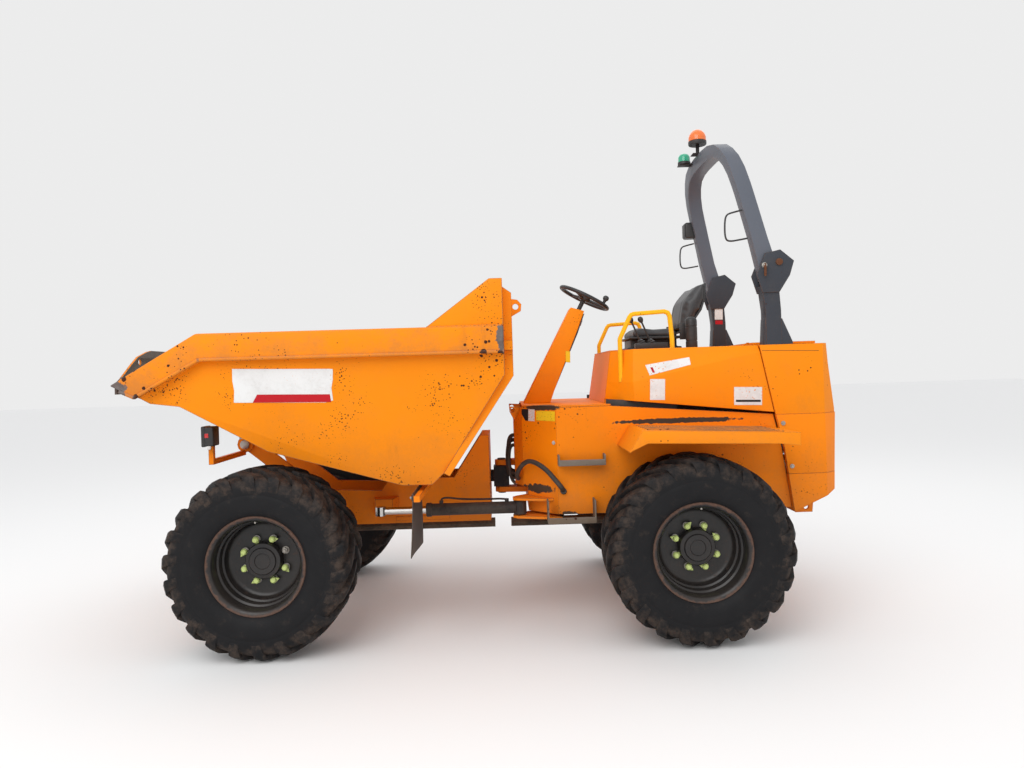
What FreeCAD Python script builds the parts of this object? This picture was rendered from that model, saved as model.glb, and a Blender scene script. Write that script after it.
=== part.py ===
import FreeCAD, Part
import math
import os

from FreeCAD import Vector

# Articulated site dumper, millimetres. +X is forward to the skip, +Y is the driver's left,
# +Z is up. The origin is on the ground, under the middle of the machine. Heights are written for
# axles at AXLE_Z, and each piece is lifted by what the tyres add to it when it is saved.

# Driving dimensions
AXLE_X = {"front": 1440, "rear": -1260}
AXLE_Z = 578
TYRE_R = 578
WHEEL_Y = 975
RIM_R = 287
HUB_BORE = 51
FLANGE_R = 305
BEAM_HALF = 80
PIVOT_X = -50
TRUNNION_Z = 930
DECK_Z = 1470
COVER_Z = 1833
BODY_HALF = 660
TAIL_HALF = BODY_HALF + 40
COVER_HALF = BODY_HALF + 30
RAIL_Y = COVER_HALF - 105
FENDER_Y = 1200
REAR_X = -2326
SHEET = 12

# Skip, side view outline in X and Z
SKIP_PIN = (1785, 1245)
SKIP_TIP = (2311, 1694)
RIM_Z = 1990
SKIP_BACK_X = -97
SKIP_TOP_HALF = 1080
SKIP_FLOOR_HALF = SKIP_TOP_HALF - 120
BAND_HALF = SKIP_TOP_HALF + 60

# Roll-over hoop
HOOP_HALF = TAIL_HALF - 54
HOOP_TOP_Z = 3300
HINGE = (-1940, 2380)

# Steering and tipping rams, pin centres
STEER_Y = BODY_HALF - 140
STEER_REAR = (-173, STEER_Y)
STEER_FRONT = (785, STEER_Y)
STEER_Z = 775
TIP_BASE = (330, 760)
TIP_EYE = (1100, 1095)

# Other joint places
SPLIT_Z = 1368
LID_HINGE_X = -1804
LID_HINGE_Z = COVER_Z + 14
WHEEL_FOOT = (-672, 0, 2166)
WHEEL_AXIS = (-0.46, 0, 0.888)

LEFT, RIGHT = 1, -1
SIDES = {"left": LEFT, "right": RIGHT}


def prism(points, push):
    """A solid from a flat outline pushed along a vector."""
    corners = [Vector(*p) for p in points]
    wire = Part.makePolygon(corners + corners[:1])
    return Part.Face(wire).extrude(Vector(*push))


def side_plate(outline, y0, y1):
    """An outline in X and Z, between two Y planes."""
    return prism([(x, y0, z) for x, z in outline], (0, y1 - y0, 0))


def floor_plate(outline, z0, z1):
    """An outline in X and Y, between two heights."""
    return prism([(x, y, z0) for x, y in outline], (0, 0, z1 - z0))


def cross_plate(outline, x0, x1):
    """An outline in Y and Z, between two X planes."""
    return prism([(x0, y, z) for y, z in outline], (x1 - x0, 0, 0))


def box(x0, x1, y0, y1, z0, z1):
    return Part.makeBox(x1 - x0, y1 - y0, z1 - z0, Vector(x0, y0, z0))


def bar(start, end, radius):
    """A round bar between two points."""
    a, b = Vector(*start), Vector(*end)
    return Part.makeCylinder(radius, (b - a).Length, a, b - a)


def flat_bar(start, end, radius, sides=12, bore=False):
    """A bar with flats between two points. The radius is to its corners, or to its flats for a bore.

    A bore's flats face a pin's corners, so that the pin turns in it."""
    a, b = Vector(*start), Vector(*end)
    along = (b - a).normalize()
    first = Vector(1, 0, 0) if abs(along.z) > 0.9 else Vector(0, 0, 1)
    first = (first - along * first.dot(along)).normalize()
    second = along.cross(first)
    reach = radius / math.cos(math.pi / sides) if bore else radius
    phase = 0.5 if bore else 0
    turns = [2 * math.pi * (k + phase) / sides for k in range(sides)]
    corners = [a + (first * math.cos(t) + second * math.sin(t)) * reach for t in turns]
    return prism(corners, tuple(Vector(*end) - a))


def fuse(*shapes):
    return shapes[0].multiFuse(list(shapes[1:])).removeSplitter()


def both(shape):
    """The shape and its mirror image across the middle plane."""
    return [shape, shape.mirror(Vector(0, 0, 0), Vector(0, 1, 0))]


def pipe(points, radius, bend):
    """A tube with eight flats along a line in one XZ plane, its bends made of two short runs each."""
    corners = [Vector(*p) for p in points]
    path = [corners[0]]
    for before, corner, after in zip(corners, corners[1:], corners[2:]):
        back = (before - corner).normalize()
        ahead = (after - corner).normalize()
        half = back.getAngle(ahead) / 2
        reach = bend / math.tan(half)
        middle = corner + (back + ahead).normalize() * (bend / math.sin(half) - bend)
        path += [corner + back * reach, middle, corner + ahead * reach]
    path.append(corners[-1])
    out = Vector(0, 1, 0)
    rings = []
    for k, point in enumerate(path):
        run_in = (point - path[max(k - 1, 0)]) if k else (path[1] - point)
        run_out = (path[k + 1] - point) if k + 1 < len(path) else run_in
        side_in, side_out = out.cross(run_in).normalize(), out.cross(run_out).normalize()
        mitre = (side_in + side_out).normalize()
        mitre = mitre * (1 / mitre.dot(side_in))
        turns = [math.pi * (m + 0.5) / 4 for m in range(8)]
        rings.append([point + (out * math.cos(t) + mitre * math.sin(t)) * radius for t in turns])
    faces = [rings[0], rings[-1]]
    for first, second in zip(rings, rings[1:]):
        for m in range(8):
            n = (m + 1) % 8
            faces.append([first[m], first[n], second[n], second[m]])
    return closed(faces)


def closed(faces):
    """A solid from flat faces that meet along their edges."""
    shell = Part.makeShell([Part.Face(Part.makePolygon(list(f) + [f[0]])) for f in faces])
    solid = Part.Solid(shell)
    if solid.Volume < 0:
        solid.reverse()
    return solid


def faceted(outline, steps):
    """A ring about the Y axis with flats, from an outline of Y and radius."""
    def corner(point, k):
        turn = 2 * math.pi * k / steps
        return Vector(point[1] * math.sin(turn), point[0], point[1] * math.cos(turn))
    faces = []
    for k in range(steps):
        for a, b in zip(outline, outline[1:] + outline[:1]):
            if a[1] == 0 and b[1] == 0:
                continue
            loop = [corner(a, k), corner(b, k), corner(b, k + 1), corner(a, k + 1)]
            if b[1] == 0:
                del loop[2]
            if a[1] == 0:
                del loop[3]
            faces.append(loop)
    return closed(faces)


def turned_to(shape, place, axis):
    """A shape made about the Y axis at the origin, put with its axis along another."""
    shape = shape.copy()
    shape.Placement = FreeCAD.Placement(Vector(*place), FreeCAD.Rotation(Vector(0, 1, 0), Vector(*axis)))
    return shape


def save(name, *shapes):
    shape = shapes[0] if len(shapes) == 1 else Part.makeCompound(list(shapes))
    shape.translate(Vector(0, 0, TYRE_R - AXLE_Z))
    shape.exportStep(f"parts/{name}.step")


# Wheels

LUGS = 22
SHOULDER_HALF = 3.4
# columns: Y from the wheel's middle, radius
TYRE_SIDE = [(203, RIM_R + 3), (250, 400)]
TYRE_CAVITY = (198, TYRE_R - 73)
# columns: Y, radius between lugs, radius on a lug, lead and half width of a lug in degrees
LUG_STATIONS = [
    (246, TYRE_R - 102, TYRE_R - 102, 0, SHOULDER_HALF),
    (226, TYRE_R - 46, TYRE_R - 18, 2.5, 3.6),
    (118, TYRE_R - 30, TYRE_R, 11, 3.0),
    (14, TYRE_R - 28, TYRE_R - 2, 20, 2.6),
]


def tyre():
    """Carcass open towards the rim, with angled lugs whose two rows are half a step apart."""
    pitch = 360 / LUGS

    def at(y, radius, degrees):
        turn = math.radians(degrees)
        return Vector(radius * math.sin(turn), y, radius * math.cos(turn))

    def ends(side, k, station, top):
        y, low, high, lead, half = LUG_STATIONS[station]
        middle = k * pitch + lead + (0 if side == LEFT else pitch / 2)
        radius = high if top else low
        return at(side * y, radius, middle - half), at(side * y, radius, middle + half)

    faces = []

    def band(a, b, c, d):
        faces.extend([(a, b, c), (a, c, d)])

    for side in (LEFT, RIGHT):
        for k in range(LUGS):
            stations = len(LUG_STATIONS)
            for n in range(stations - 1):
                a0, a1 = ends(side, k, n, True)
                b0, b1 = ends(side, k, n + 1, True)
                band(a0, a1, b1, b0)
                f0, f1 = ends(side, k, n, False)
                g0, g1 = ends(side, k, n + 1, False)
                next_f, next_g = ends(side, k + 1, n, False)[0], ends(side, k + 1, n + 1, False)[0]
                band(f1, next_f, next_g, g1)
                for low, high, low2, high2 in ((f0, a0, g0, b0), (f1, a1, g1, b1)):
                    if n == 0:
                        faces.append((low, high2, low2))
                    else:
                        band(low, high, high2, low2)
            tip0, tip1 = ends(side, k, stations - 1, True)
            foot0, foot1 = ends(side, k, stations - 1, False)
            band(foot0, tip0, tip1, foot1)
            start, end = ends(side, k, 0, False)
            after = ends(side, k + 1, 0, False)[0]
            middle = k * pitch + (0 if side == LEFT else pitch / 2)
            angles = (middle - SHOULDER_HALF, middle + pitch - SHOULDER_HALF)
            bead, wall, well = [[at(side * y, r, angle) for angle in angles] for y, r in TYRE_SIDE + [TYRE_CAVITY]]
            faces.extend([(wall[0], end, start), (wall[0], wall[1], end), (wall[1], after, end)])
            band(bead[0], bead[1], wall[1], wall[0])
            band(bead[0], bead[1], well[1], well[0])
    last = len(LUG_STATIONS) - 1
    for k in range(LUGS):
        left0, left1 = ends(LEFT, k, last, False)
        left2 = ends(LEFT, k + 1, last, False)[0]
        right0, right1 = ends(RIGHT, k, last, False)
        back1 = ends(RIGHT, k - 1, last, False)[1]
        faces.extend([(left0, left1, back1), (left1, right0, back1), (left1, left2, right0), (left2, right1, right0)])
        y, r = TYRE_CAVITY
        a, b = (at(y, r, k * pitch - SHOULDER_HALF + step) for step in (0, pitch))
        c, d = (at(-y, r, k * pitch + pitch / 2 - SHOULDER_HALF + step) for step in (0, pitch))
        faces.extend([(a, b, c), (b, d, c)])
    return closed(faces)


def rim():
    """Barrel with a sloping well, dished disc, hub and cap."""
    lip = RIM_R - 14
    outline = [(-216, lip), (-216, FLANGE_R), (-213, FLANGE_R), (-205, RIM_R), (205, RIM_R), (213, FLANGE_R),
               (216, FLANGE_R), (216, lip), (14, 240), (4, 116), (72, 104), (72, 0),
               (-90, 0), (-90, 140), (-12, 140), (-12, 250)]
    return faceted(outline, 16).cut(bar((0, -100, 0), (0, 38, 0), HUB_BORE))


def wheels():
    for end, x in AXLE_X.items():
        for name, side in SIDES.items():
            for kind, shape in (("tyre", tyre()), ("rim", rim())):
                shape.translate(Vector(x, WHEEL_Y, AXLE_Z))
                save(f"{kind}_{end}_{name}", both(shape)[0 if side == LEFT else 1])


def axle(x, nose_way):
    """Beam with a round differential case, and a spindle into each hub."""
    z, half = AXLE_Z, WHEEL_Y - 215
    beam = box(x - 75, x + 75, -half, half, z - BEAM_HALF, z + BEAM_HALF)
    case = flat_bar((x - 20, -110, z), (x - 20, 110, z), 150)
    nose = flat_bar((x, 0, z), (x + 250 * nose_way, 0, z), 95, 8)
    drums = both(flat_bar((x, half - 10, z), (x, half + 120, z), 125, 8))
    spindles = both(flat_bar((x, half, z), (x, WHEEL_Y + 35, z), HUB_BORE - 0.5, 8))
    return fuse(beam, case, nose, *drums, *spindles)


# Rear frame

CHASSIS_FRONT_X = -150
CORNER_X, CORNER_Y = -205, 430
SHOULDER_X = -430
STEP_X = -235
TAIL_X = -2000
APRON_Z = 905
BELLY_Z = 740


def chassis_plan(inset):
    front, half = CHASSIS_FRONT_X - inset, BODY_HALF - inset
    left = [(front, 290 - inset), (CORNER_X - inset, CORNER_Y - inset), (SHOULDER_X, half), (TAIL_X - 100, half)]
    return left + [(x, -y) for x, y in reversed(left)]


def chassis_side(inset, top):
    front = CHASSIS_FRONT_X - inset
    return [(STEP_X - inset, BELLY_Z + inset), (STEP_X - inset, APRON_Z + inset),
            (front, APRON_Z + inset), (front, 1345), (CORNER_X - inset, DECK_Z - SHEET + top),
            (-800, DECK_Z - SHEET + top), (-1885, 1370 + top), (-1936, 1145), (-1992, BELLY_Z + inset)]


def ram_bracket():
    x, y = STEER_REAR
    gap, thick, outer_y = 52, 18, BODY_HALF - 30
    plan = [(-470, outer_y), (-470, y - 140), (-240, y - 140), (x + 23, y - 55), (x + 48, y - 20), (x + 48, y + 25),
            (x + 23, y + 50), (-235, y + 80), (-330, outer_y)]
    return [floor_plate(plan, STEER_Z + gap, STEER_Z + gap + thick),
            floor_plate(plan, STEER_Z - gap - thick, STEER_Z - gap),
            bar((x, y, STEER_Z - gap), (x, y, STEER_Z + gap), 20)]


def rear_chassis():
    outer = floor_plate(chassis_plan(0), BELLY_Z, 1500)
    outer = outer.common(side_plate(chassis_side(0, 0), -TAIL_HALF, TAIL_HALF))
    inner = floor_plate(chassis_plan(SHEET), BELLY_Z, 1600)
    inner = inner.common(side_plate(chassis_side(SHEET, 200), -TAIL_HALF, TAIL_HALF))
    shell = outer.cut(inner)
    lugs = []
    for root, z0, z1 in ((CHASSIS_FRONT_X, 1010, 1050), (STEP_X, 810, 850)):
        plan = [(root - 5, -70), (PIVOT_X, -50), (PIVOT_X, 50), (root - 5, 70)]
        lugs.append(floor_plate(plan, z0, z1))
        lugs.append(flat_bar((PIVOT_X, 0, z0), (PIVOT_X, 0, z1), 50))
    web = side_plate([(STEP_X - 6, 905), (STEP_X - 6, 850), (-165, 850), (CHASSIS_FRONT_X - 6, 905)], -10, 10)
    eyes = both(side_plate([(-120, 1458), (-122, 1420), (-160, 1345), (-215, 1345), (-215, 1452)], 274, 290))
    x = AXLE_X["rear"]
    hung = both(box(x - 60, x + 60, 260, 340, AXLE_Z + BEAM_HALF, BELLY_Z + 6))
    body = fuse(shell, *lugs, web, *eyes, *ram_bracket(), *hung)
    pin = flat_bar((PIVOT_X, 0, 750), (PIVOT_X, 0, 1150), 30.3, bore=True)
    hole = bar((-142, -400, 1432), (-142, 400, 1432), 16)
    save("rear_chassis", body.cut(pin).cut(hole))
    save("rear_axle", axle(x, 1))
    save("prop_rear", flat_bar((x + 250, 0, AXLE_Z), (PIVOT_X - 60, 0, AXLE_Z), 35, 8))
    save("engine", box(x - 640, x + 110, -300, 300, BELLY_Z + SHEET, DECK_Z + 30))


def deck():
    plan = [(CORNER_X - 2, CORNER_Y - 2), (SHOULDER_X, BODY_HALF), (-800, BODY_HALF)]
    plan += [(x, -y) for x, y in reversed(plan)]
    save("deck_plate", floor_plate(plan, DECK_Z - SHEET, DECK_Z))


def rear_plan(inset, front):
    """Rear body in plan, with the two rear corners cut off."""
    half, end = TAIL_HALF - inset, REAR_X + inset
    left = [(front, half), (REAR_X + 110, half), (end, half - 100)]
    return left + [(x, -y) for x, y in reversed(left)]


# Tow jaw, its mouth between two heights, in the middle of the tail
JAW_HALF = 80
JAW_MOUTH = (884, 936)
JAW_FOOT_Z = 850
BALLAST_Z = 970
LAMP_Y, LAMP_Z = 500, 1170


def lamp_box(deep):
    return box(REAR_X, REAR_X + deep, LAMP_Y - 50, LAMP_Y + 50, LAMP_Z - 50, LAMP_Z + 50)


def tail():
    """Tail casting: two ballast blocks with the tow jaw between them, and a hollow upper part."""
    line = [(-1890, SPLIT_Z), (-1940, 1145), (-1996, 716), (-2213, 816), (REAR_X + 30, JAW_FOOT_Z), (REAR_X, SPLIT_Z)]
    whole = floor_plate(rear_plan(0, -1880), 700, 1400).common(side_plate(line, -TAIL_HALF, TAIL_HALF))
    far = REAR_X - 10
    lower = whole.common(box(far, -1800, -TAIL_HALF, TAIL_HALF, 700, BALLAST_Z))
    eye = side_plate([(-2010, 735), (-2035, 695), (-2150, 695), (-2160, 800), (-2020, 760)], 590, 606)
    block = fuse(lower.common(box(far, -1800, JAW_HALF, TAIL_HALF, 700, BALLAST_Z)), eye)
    save("rear_weight", *both(block.cut(bar((-2108, 580, 730), (-2108, 620, 730), 16))))
    jaw = lower.common(box(far, -1800, -JAW_HALF, JAW_HALF, 700, BALLAST_Z))
    jaw = jaw.cut(box(far, REAR_X + 120, -JAW_HALF, JAW_HALF, *JAW_MOUTH))
    jaw = jaw.cut(box(far, REAR_X + 120, -JAW_HALF, JAW_HALF, 700, JAW_FOOT_Z))
    save("tow_jaw", jaw.cut(bar((REAR_X + 50, 0, 800), (REAR_X + 50, 0, 1000), 16)))
    inner = floor_plate(rear_plan(30, -1800), 900, 1500)
    window = box(far, REAR_X + 80, -380, 380, BALLAST_Z + 15, 1300)
    casing = whole.common(box(far, -1800, -TAIL_HALF, TAIL_HALF, BALLAST_Z, 1400)).cut(inner).cut(window)
    for pocket in both(lamp_box(22)):
        casing = casing.cut(pocket)
    save("tail_casing", casing)
    slats = [box(REAR_X + 12, REAR_X + 24, -380, 380, z, z + 16) for z in range(1010, 1290, 50)]
    bars = both(box(REAR_X + 10, REAR_X + 30, 364, 380, BALLAST_Z + 15, 1300))
    save("rear_grille", fuse(*slats, *bars))
    save("rear_lamps", *both(lamp_box(22)))


def rear_shell():
    """Sheet cover over the engine's rear, open above for the lid."""
    line = [(-1796, COVER_Z), (-1890, SPLIT_Z), (REAR_X, SPLIT_Z), (-2268, 1700), (-2253, COVER_Z)]
    inside = [(-1700, COVER_Z - 14), (-1750, 1300), (REAR_X + 14, 1300), (-2254, 1700), (-2239, COVER_Z - 14)]
    outer = floor_plate(rear_plan(4, -1700), 1300, 1900).common(side_plate(line, -TAIL_HALF, TAIL_HALF))
    inner = floor_plate(rear_plan(18, -1600), 1300, 1900).common(side_plate(inside, -TAIL_HALF, TAIL_HALF))
    opening = box(-2226, -1822, -500, 500, 1750, 1900)
    body = fuse(outer.cut(inner).cut(opening), *both(box(-1812, -1798, 402, 432, COVER_Z - 2, COVER_Z + 26)))
    hole = flat_bar((LID_HINGE_X, -440, LID_HINGE_Z), (LID_HINGE_X, 440, LID_HINGE_Z), 6.3, 8, bore=True)
    save("rear_shell", body.cut(hole))
    lid = box(-2240, -1806, -515, 515, COVER_Z + 6, COVER_Z + 22)
    lip = box(-2216, -1832, -490, 490, COVER_Z - 10, COVER_Z + 6)
    hinge = bar((LID_HINGE_X, -430, LID_HINGE_Z), (LID_HINGE_X, 430, LID_HINGE_Z), 6)
    for notch in both(box(-1826, -1780, 394, 440, COVER_Z, COVER_Z + 30)):
        lid = lid.cut(notch)
    save("hood_lid", fuse(lid, lip, hinge))


def lean_x(z):
    """Front of the engine cover at a height, because its wall leans back."""
    return -782 - (z - 1498) * 50 / 323


def engine_cover():
    """Wall behind the driver's legs and the platform that carries the seat."""
    thick = 12
    wall_z = COVER_Z - thick
    half = [(COVER_HALF - 204, DECK_Z), (COVER_HALF - 204, 1498), (COVER_HALF - 234, wall_z)]
    outline = half + [(-y, z) for y, z in reversed(half)]
    wall = prism([(lean_x(z), y, z) for y, z in outline], (-thick, 0, 0))
    plan = [(lean_x(wall_z), COVER_HALF - 234), (-966, COVER_HALF - 76), (-1792, COVER_HALF - 32)]
    plan += [(x, -y) for x, y in reversed(plan)]
    save("engine_cover", fuse(wall, floor_plate(plan, wall_z, COVER_Z)))


# Corners of the left side cover: its lower edge, its crease and its top
COVER_POINTS = {
    "a": (-960, COVER_HALF, 1484), "b": (-1884, COVER_HALF, 1383), "c": (-1801, COVER_HALF, 1788),
    "d": (-950, COVER_HALF, 1612), "e": (-1792, COVER_HALF - 18, COVER_Z), "f": (-966, COVER_HALF - 62, COVER_Z),
    "g": (-782, COVER_HALF - 190, 1498), "h": (-832, COVER_HALF - 220, COVER_Z - 12),
    "i": (-800, COVER_HALF - 201, 1612),
}


def side_covers():
    """Side panel whose upper part leans in, deeper at the front than at the rear."""
    thick = 14
    outer = COVER_POINTS
    inner = {name + "2": (x, y - thick, z) for name, (x, y, z) in outer.items()}
    points = {**outer, **inner}
    loops = [("a", "b", "c", "d"), ("d", "c", "e"), ("d", "e", "f"), ("a", "d", "i", "g"), ("i", "d", "f"),
             ("i", "f", "h")]
    edge = ["g", "a", "b", "c", "e", "f", "h", "i"]
    faces = []
    for loop in loops:
        for k in range(1, len(loop) - 1):
            faces.append((loop[0], loop[k], loop[k + 1]))
            faces.append((loop[0] + "2", loop[k + 1] + "2", loop[k] + "2"))
    for a, b in zip(edge, edge[1:] + edge[:1]):
        faces.append((a, b, b + "2"))
        faces.append((a, b + "2", a + "2"))
    panel = closed([[Vector(*points[name]) for name in face] for face in faces])
    save("side_covers", *both(panel))


def fenders():
    """Mudguards: flat top, outer skirt and a nose that drops at the front."""
    inner_y, outer_y, t = BODY_HALF, FENDER_Y, 6
    top = side_plate([(-915, 1325), (-1862, 1286), (-1862, 1280), (-915, 1319)], inner_y, outer_y)
    nose = side_plate([(-915, 1325), (-832, 1196), (-838, 1193), (-921, 1319)], inner_y, outer_y)
    skirt = side_plate([(-915, 1325), (-944, 1247), (-1740, 1222), (-1862, 1208), (-1862, 1286)], outer_y - t, outer_y)
    flap = side_plate([(-915, 1325), (-832, 1196), (-944, 1247)], outer_y - t, outer_y)
    rib = side_plate([(-960, 1322), (-1000, 1262), (-1780, 1230), (-1820, 1286)], inner_y, inner_y + t)
    save("fenders", *both(fuse(top, nose, skirt, flap, rib)))


def steps():
    """Folded foothold above and stirrup step below."""
    # columns: rear X, front X, tread Z, plate height, reach
    x = AXLE_X["rear"] + TYRE_R
    table = [(x - 63, x + 250, 1072, 72, 90), (x + 14, x + 332, 700, 150, 130)]
    parts = []
    for rear, front, z, tall, reach in table:
        y0, y1 = BODY_HALF, BODY_HALF + reach
        parts += both(fuse(box(rear, front, y0, y1, z, z + 12),
                           box(rear, rear + 10, y0, y1, z, z + tall),
                           box(front - 10, front, y0, y1, z, z + tall),
                           box(rear, front, y1 - 8, y1, z, z + 40)))
    save("steps", *parts)


def driver_place():
    """Column, wheel, seat, levers and the air cleaner beside the seat."""
    line = [(-228, DECK_Z), (-600, 2172), (-700, 2142), (-640, 1990), (-460, 1560), (-428, DECK_Z)]
    column = side_plate(line, -110, 110)
    tilt = Vector(*WHEEL_AXIS)
    foot = Vector(*WHEEL_FOOT)
    save("steering_column", column.cut(flat_bar(foot - tilt * 70, foot + tilt * 130, 17.4, bore=True)))
    centre = foot + tilt * 82
    grip = [(15 * math.sin(k * math.pi / 3), 190 + 15 * math.cos(k * math.pi / 3)) for k in range(6)]
    ring = turned_to(faceted(grip, 16), centre + tilt * 10, tilt)
    boss = flat_bar(centre - tilt * 10, centre + tilt * 24, 48)
    spokes = []
    for angle in (90, 210, 330):
        turn = math.radians(angle)
        across = Vector(0, 1, 0) * math.cos(turn) + tilt.cross(Vector(0, 1, 0)) * math.sin(turn)
        spokes.append(flat_bar(centre + tilt * 6, centre + tilt * 6 + across * 185, 11, 4))
    shaft = bar(foot - tilt * 65, foot + tilt * 82, 17)
    save("steering_wheel", fuse(shaft, ring, boss, *spokes))
    z = COVER_Z
    base = fuse(box(-1400, -1000, -180, 180, z, z + 25), box(-1370, -1030, -150, 150, z + 25, z + 83))
    save("seat_base", base)
    cushion = [(-1020, z + 83), (-1000, z + 138), (-1040, z + 170), (-1370, z + 158), (-1400, z + 83)]
    save("seat_cushion", side_plate(cushion, -245, 245))
    back = [(-1382.8, z + 127), (-1402, z + 257), (-1418, z + 348), (-1473, z + 416), (-1560, z + 503),
            (-1586, z + 479), (-1580, z + 370), (-1550, z + 282), (-1507, z + 220), (-1440, z + 122)]
    save("seat_back", side_plate(back, -235, 235))
    knob = [(-19, 0), (-10, 16), (6, 19), (19, 9), (19, 0)]
    levers = [fuse(flat_bar((x, y, z + 40), (x + 70, y, z + 203), 7, 6),
                   turned_to(faceted(knob, 10), (x + 70, y, z + 213), (70, 0, 163)))
              for x, y in ((-1080, 330), (-1150, 330))]
    save("control_levers", fuse(box(-1260, -1030, 295, 365, z, z + 48), *levers))
    x, y = -1435, 330
    save("air_cleaner", fuse(flat_bar((x, y, z), (x, y, z + 205), 41),
                             flat_bar((x, y, z + 205), (x, y, z + 228), 34)))


def handrails():
    """Bent tube loops beside the seat, their feet on the side covers."""
    # columns: X, Z
    line = [(-885, COVER_Z - 220), (-885, COVER_Z + 72), (-965, COVER_Z + 239), (-1225, COVER_Z + 252),
            (-1240, COVER_Z + 60), (-1240, COVER_Z)]
    rail = pipe([(x, RAIL_Y, z) for x, z in line], 16, 36)
    d, f, h, i = [COVER_POINTS[name] for name in "dfhi"]
    for facet in ((d, f, i), (f, h, i)):
        rail = rail.cut(prism(facet, (-200, -170, 0)))
    save("handrails", *both(rail))


def rops_leg(side):
    """Socket, post and hinge cheeks of one side."""
    hx, hz = HINGE
    y = HOOP_HALF * side
    post = [(-1845, COVER_Z), (-1845, 2060), (-1826, 2225), (-1938, 2225), (-1948, 2060), (-1948, COVER_Z)]
    socket = [(-1832, COVER_Z), (-1832, COVER_Z + 12), (-1843, 2005), (-1955, 2005), (-2022, COVER_Z + 12),
              (-2022, COVER_Z)]
    plate = [(-1826, 2180), (-1790, 2300), (-1850, 2440), (-1950, 2462), (-2040, 2385), (-2010, 2290), (-1938, 2180)]
    cheeks = [side_plate(plate, y + inner, y + inner + 12) for inner in (-62, 50)]
    pin = bar((hx, y - 50, hz), (hx, y + 50, hz), 15)
    return fuse(side_plate(post, y - 50, y + 50), side_plate(socket, y - 52, y + 46), *cheeks, pin)


def rops_hoop():
    """Folding hoop: two leaning legs that bend in to a crown, with hinge ears at their feet."""
    hx, hz = HINGE
    half, bend_z, far = HOOP_HALF, 2560, BODY_HALF + 140
    foot = [(-1830, 2262), (-1765, bend_z), (-1872, bend_z), (-1912, 2425), (-1985, 2400), (-1960, 2330), (-1930, 2262)]
    feet = both(side_plate(foot, half - 44, half + 44))
    # columns: Y, Z
    outside = [(half + 44, bend_z), (half + 22, 2750), (half - 1, 2930), (half - 26, 3040), (half - 74, 3135),
               (half - 146, 3205), (half - 236, 3258), (half - 376, 3290), (half - 536, HOOP_TOP_Z)]
    inside = [(half - 44, bend_z), (half - 64, 2750), (half - 86, 2910), (half - 109, 3010), (half - 151, 3085),
              (half - 214, 3143), (half - 296, 3185), (half - 406, 3205), (half - 536, 3212)]
    outline = outside + [(-y, z) for y, z in reversed(outside)] + [(-y, z) for y, z in inside] + inside[::-1]
    lean = [(-1765, bend_z), (-1700, 2860), (-1655, 3050), (-1600, HOOP_TOP_Z), (-1695, HOOP_TOP_Z), (-1755, 3070),
            (-1800, 2880), (-1872, bend_z)]
    bent = cross_plate(outline, -1900, -1500).common(side_plate(lean, -far, far))
    return fuse(*feet, bent).cut(flat_bar((hx, -far, hz), (hx, far, hz), 15.3, bore=True))


def rops():
    """Hoop with its sockets, and the beacon and the green light on their brackets."""
    save("rops_legs", *[rops_leg(side) for side in SIDES.values()])
    hoop = rops_hoop()
    save("rops_hoop", hoop)
    x, top = -1605, HOOP_TOP_Z
    foot_z, light_z = top + 75, top - 16
    stand = fuse(box(x - 55, x + 45, -40, 40, top, top + 8), flat_bar((x, 0, top), (x, 0, foot_z), 14, 8))
    arm = box(x - 45, x + 102, -240, -160, light_z - 10, light_z).cut(hoop)
    save("lamp_bracket", stand, arm)
    lens = [(0, 0), (0, 68), (28, 68), (60, 66), (90, 52), (110, 30), (120, 0)]
    save("beacon", turned_to(faceted(lens, 16), (x, 0, foot_z), (0, 0, 1)))
    save("green_light", flat_bar((x + 56, -200, light_z), (x + 56, -200, light_z + 84), 47))


# Steering ram and centre joint

def steering_ram():
    (rx, ry), (fx, fy), z = STEER_REAR, STEER_FRONT, STEER_Z
    eye = flat_bar((rx, ry, z - 45), (rx, ry, z + 45), 45)
    barrel = fuse(eye, flat_bar((rx + 30, ry, z), (rx + 612, ry, z), 42))
    barrel = barrel.cut(flat_bar((rx, ry, z - 100), (rx, ry, z + 100), 20.3, bore=True))
    barrel = barrel.cut(flat_bar((rx + 60, ry, z), (rx + 700, ry, z), 25.5, bore=True))
    save("steer_barrel", barrel)
    rod = fuse(flat_bar((rx + 328, ry, z), (fx - 30, ry, z), 25), flat_bar((fx, fy, z - 30), (fx, fy, z + 30), 38))
    save("steer_rod", rod)


def centre_pivot():
    block = box(PIVOT_X - 55, 10, -65, 65, TRUNNION_Z - 75, TRUNNION_Z + 75)
    pin = bar((PIVOT_X, 0, TRUNNION_Z + 75), (PIVOT_X, 0, 1060), 30)
    foot = flat_bar((PIVOT_X, 0, 800), (PIVOT_X, 0, TRUNNION_Z - 75), 30)
    trunnion = bar((10, 0, TRUNNION_Z), (250, 0, TRUNNION_Z), 45)
    save("centre_pivot", fuse(block, pin, foot, trunnion))


# Front frame

FRAME_HALF = 260
FRAME_LOW_Z = 640
TOWER_X = 34


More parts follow.
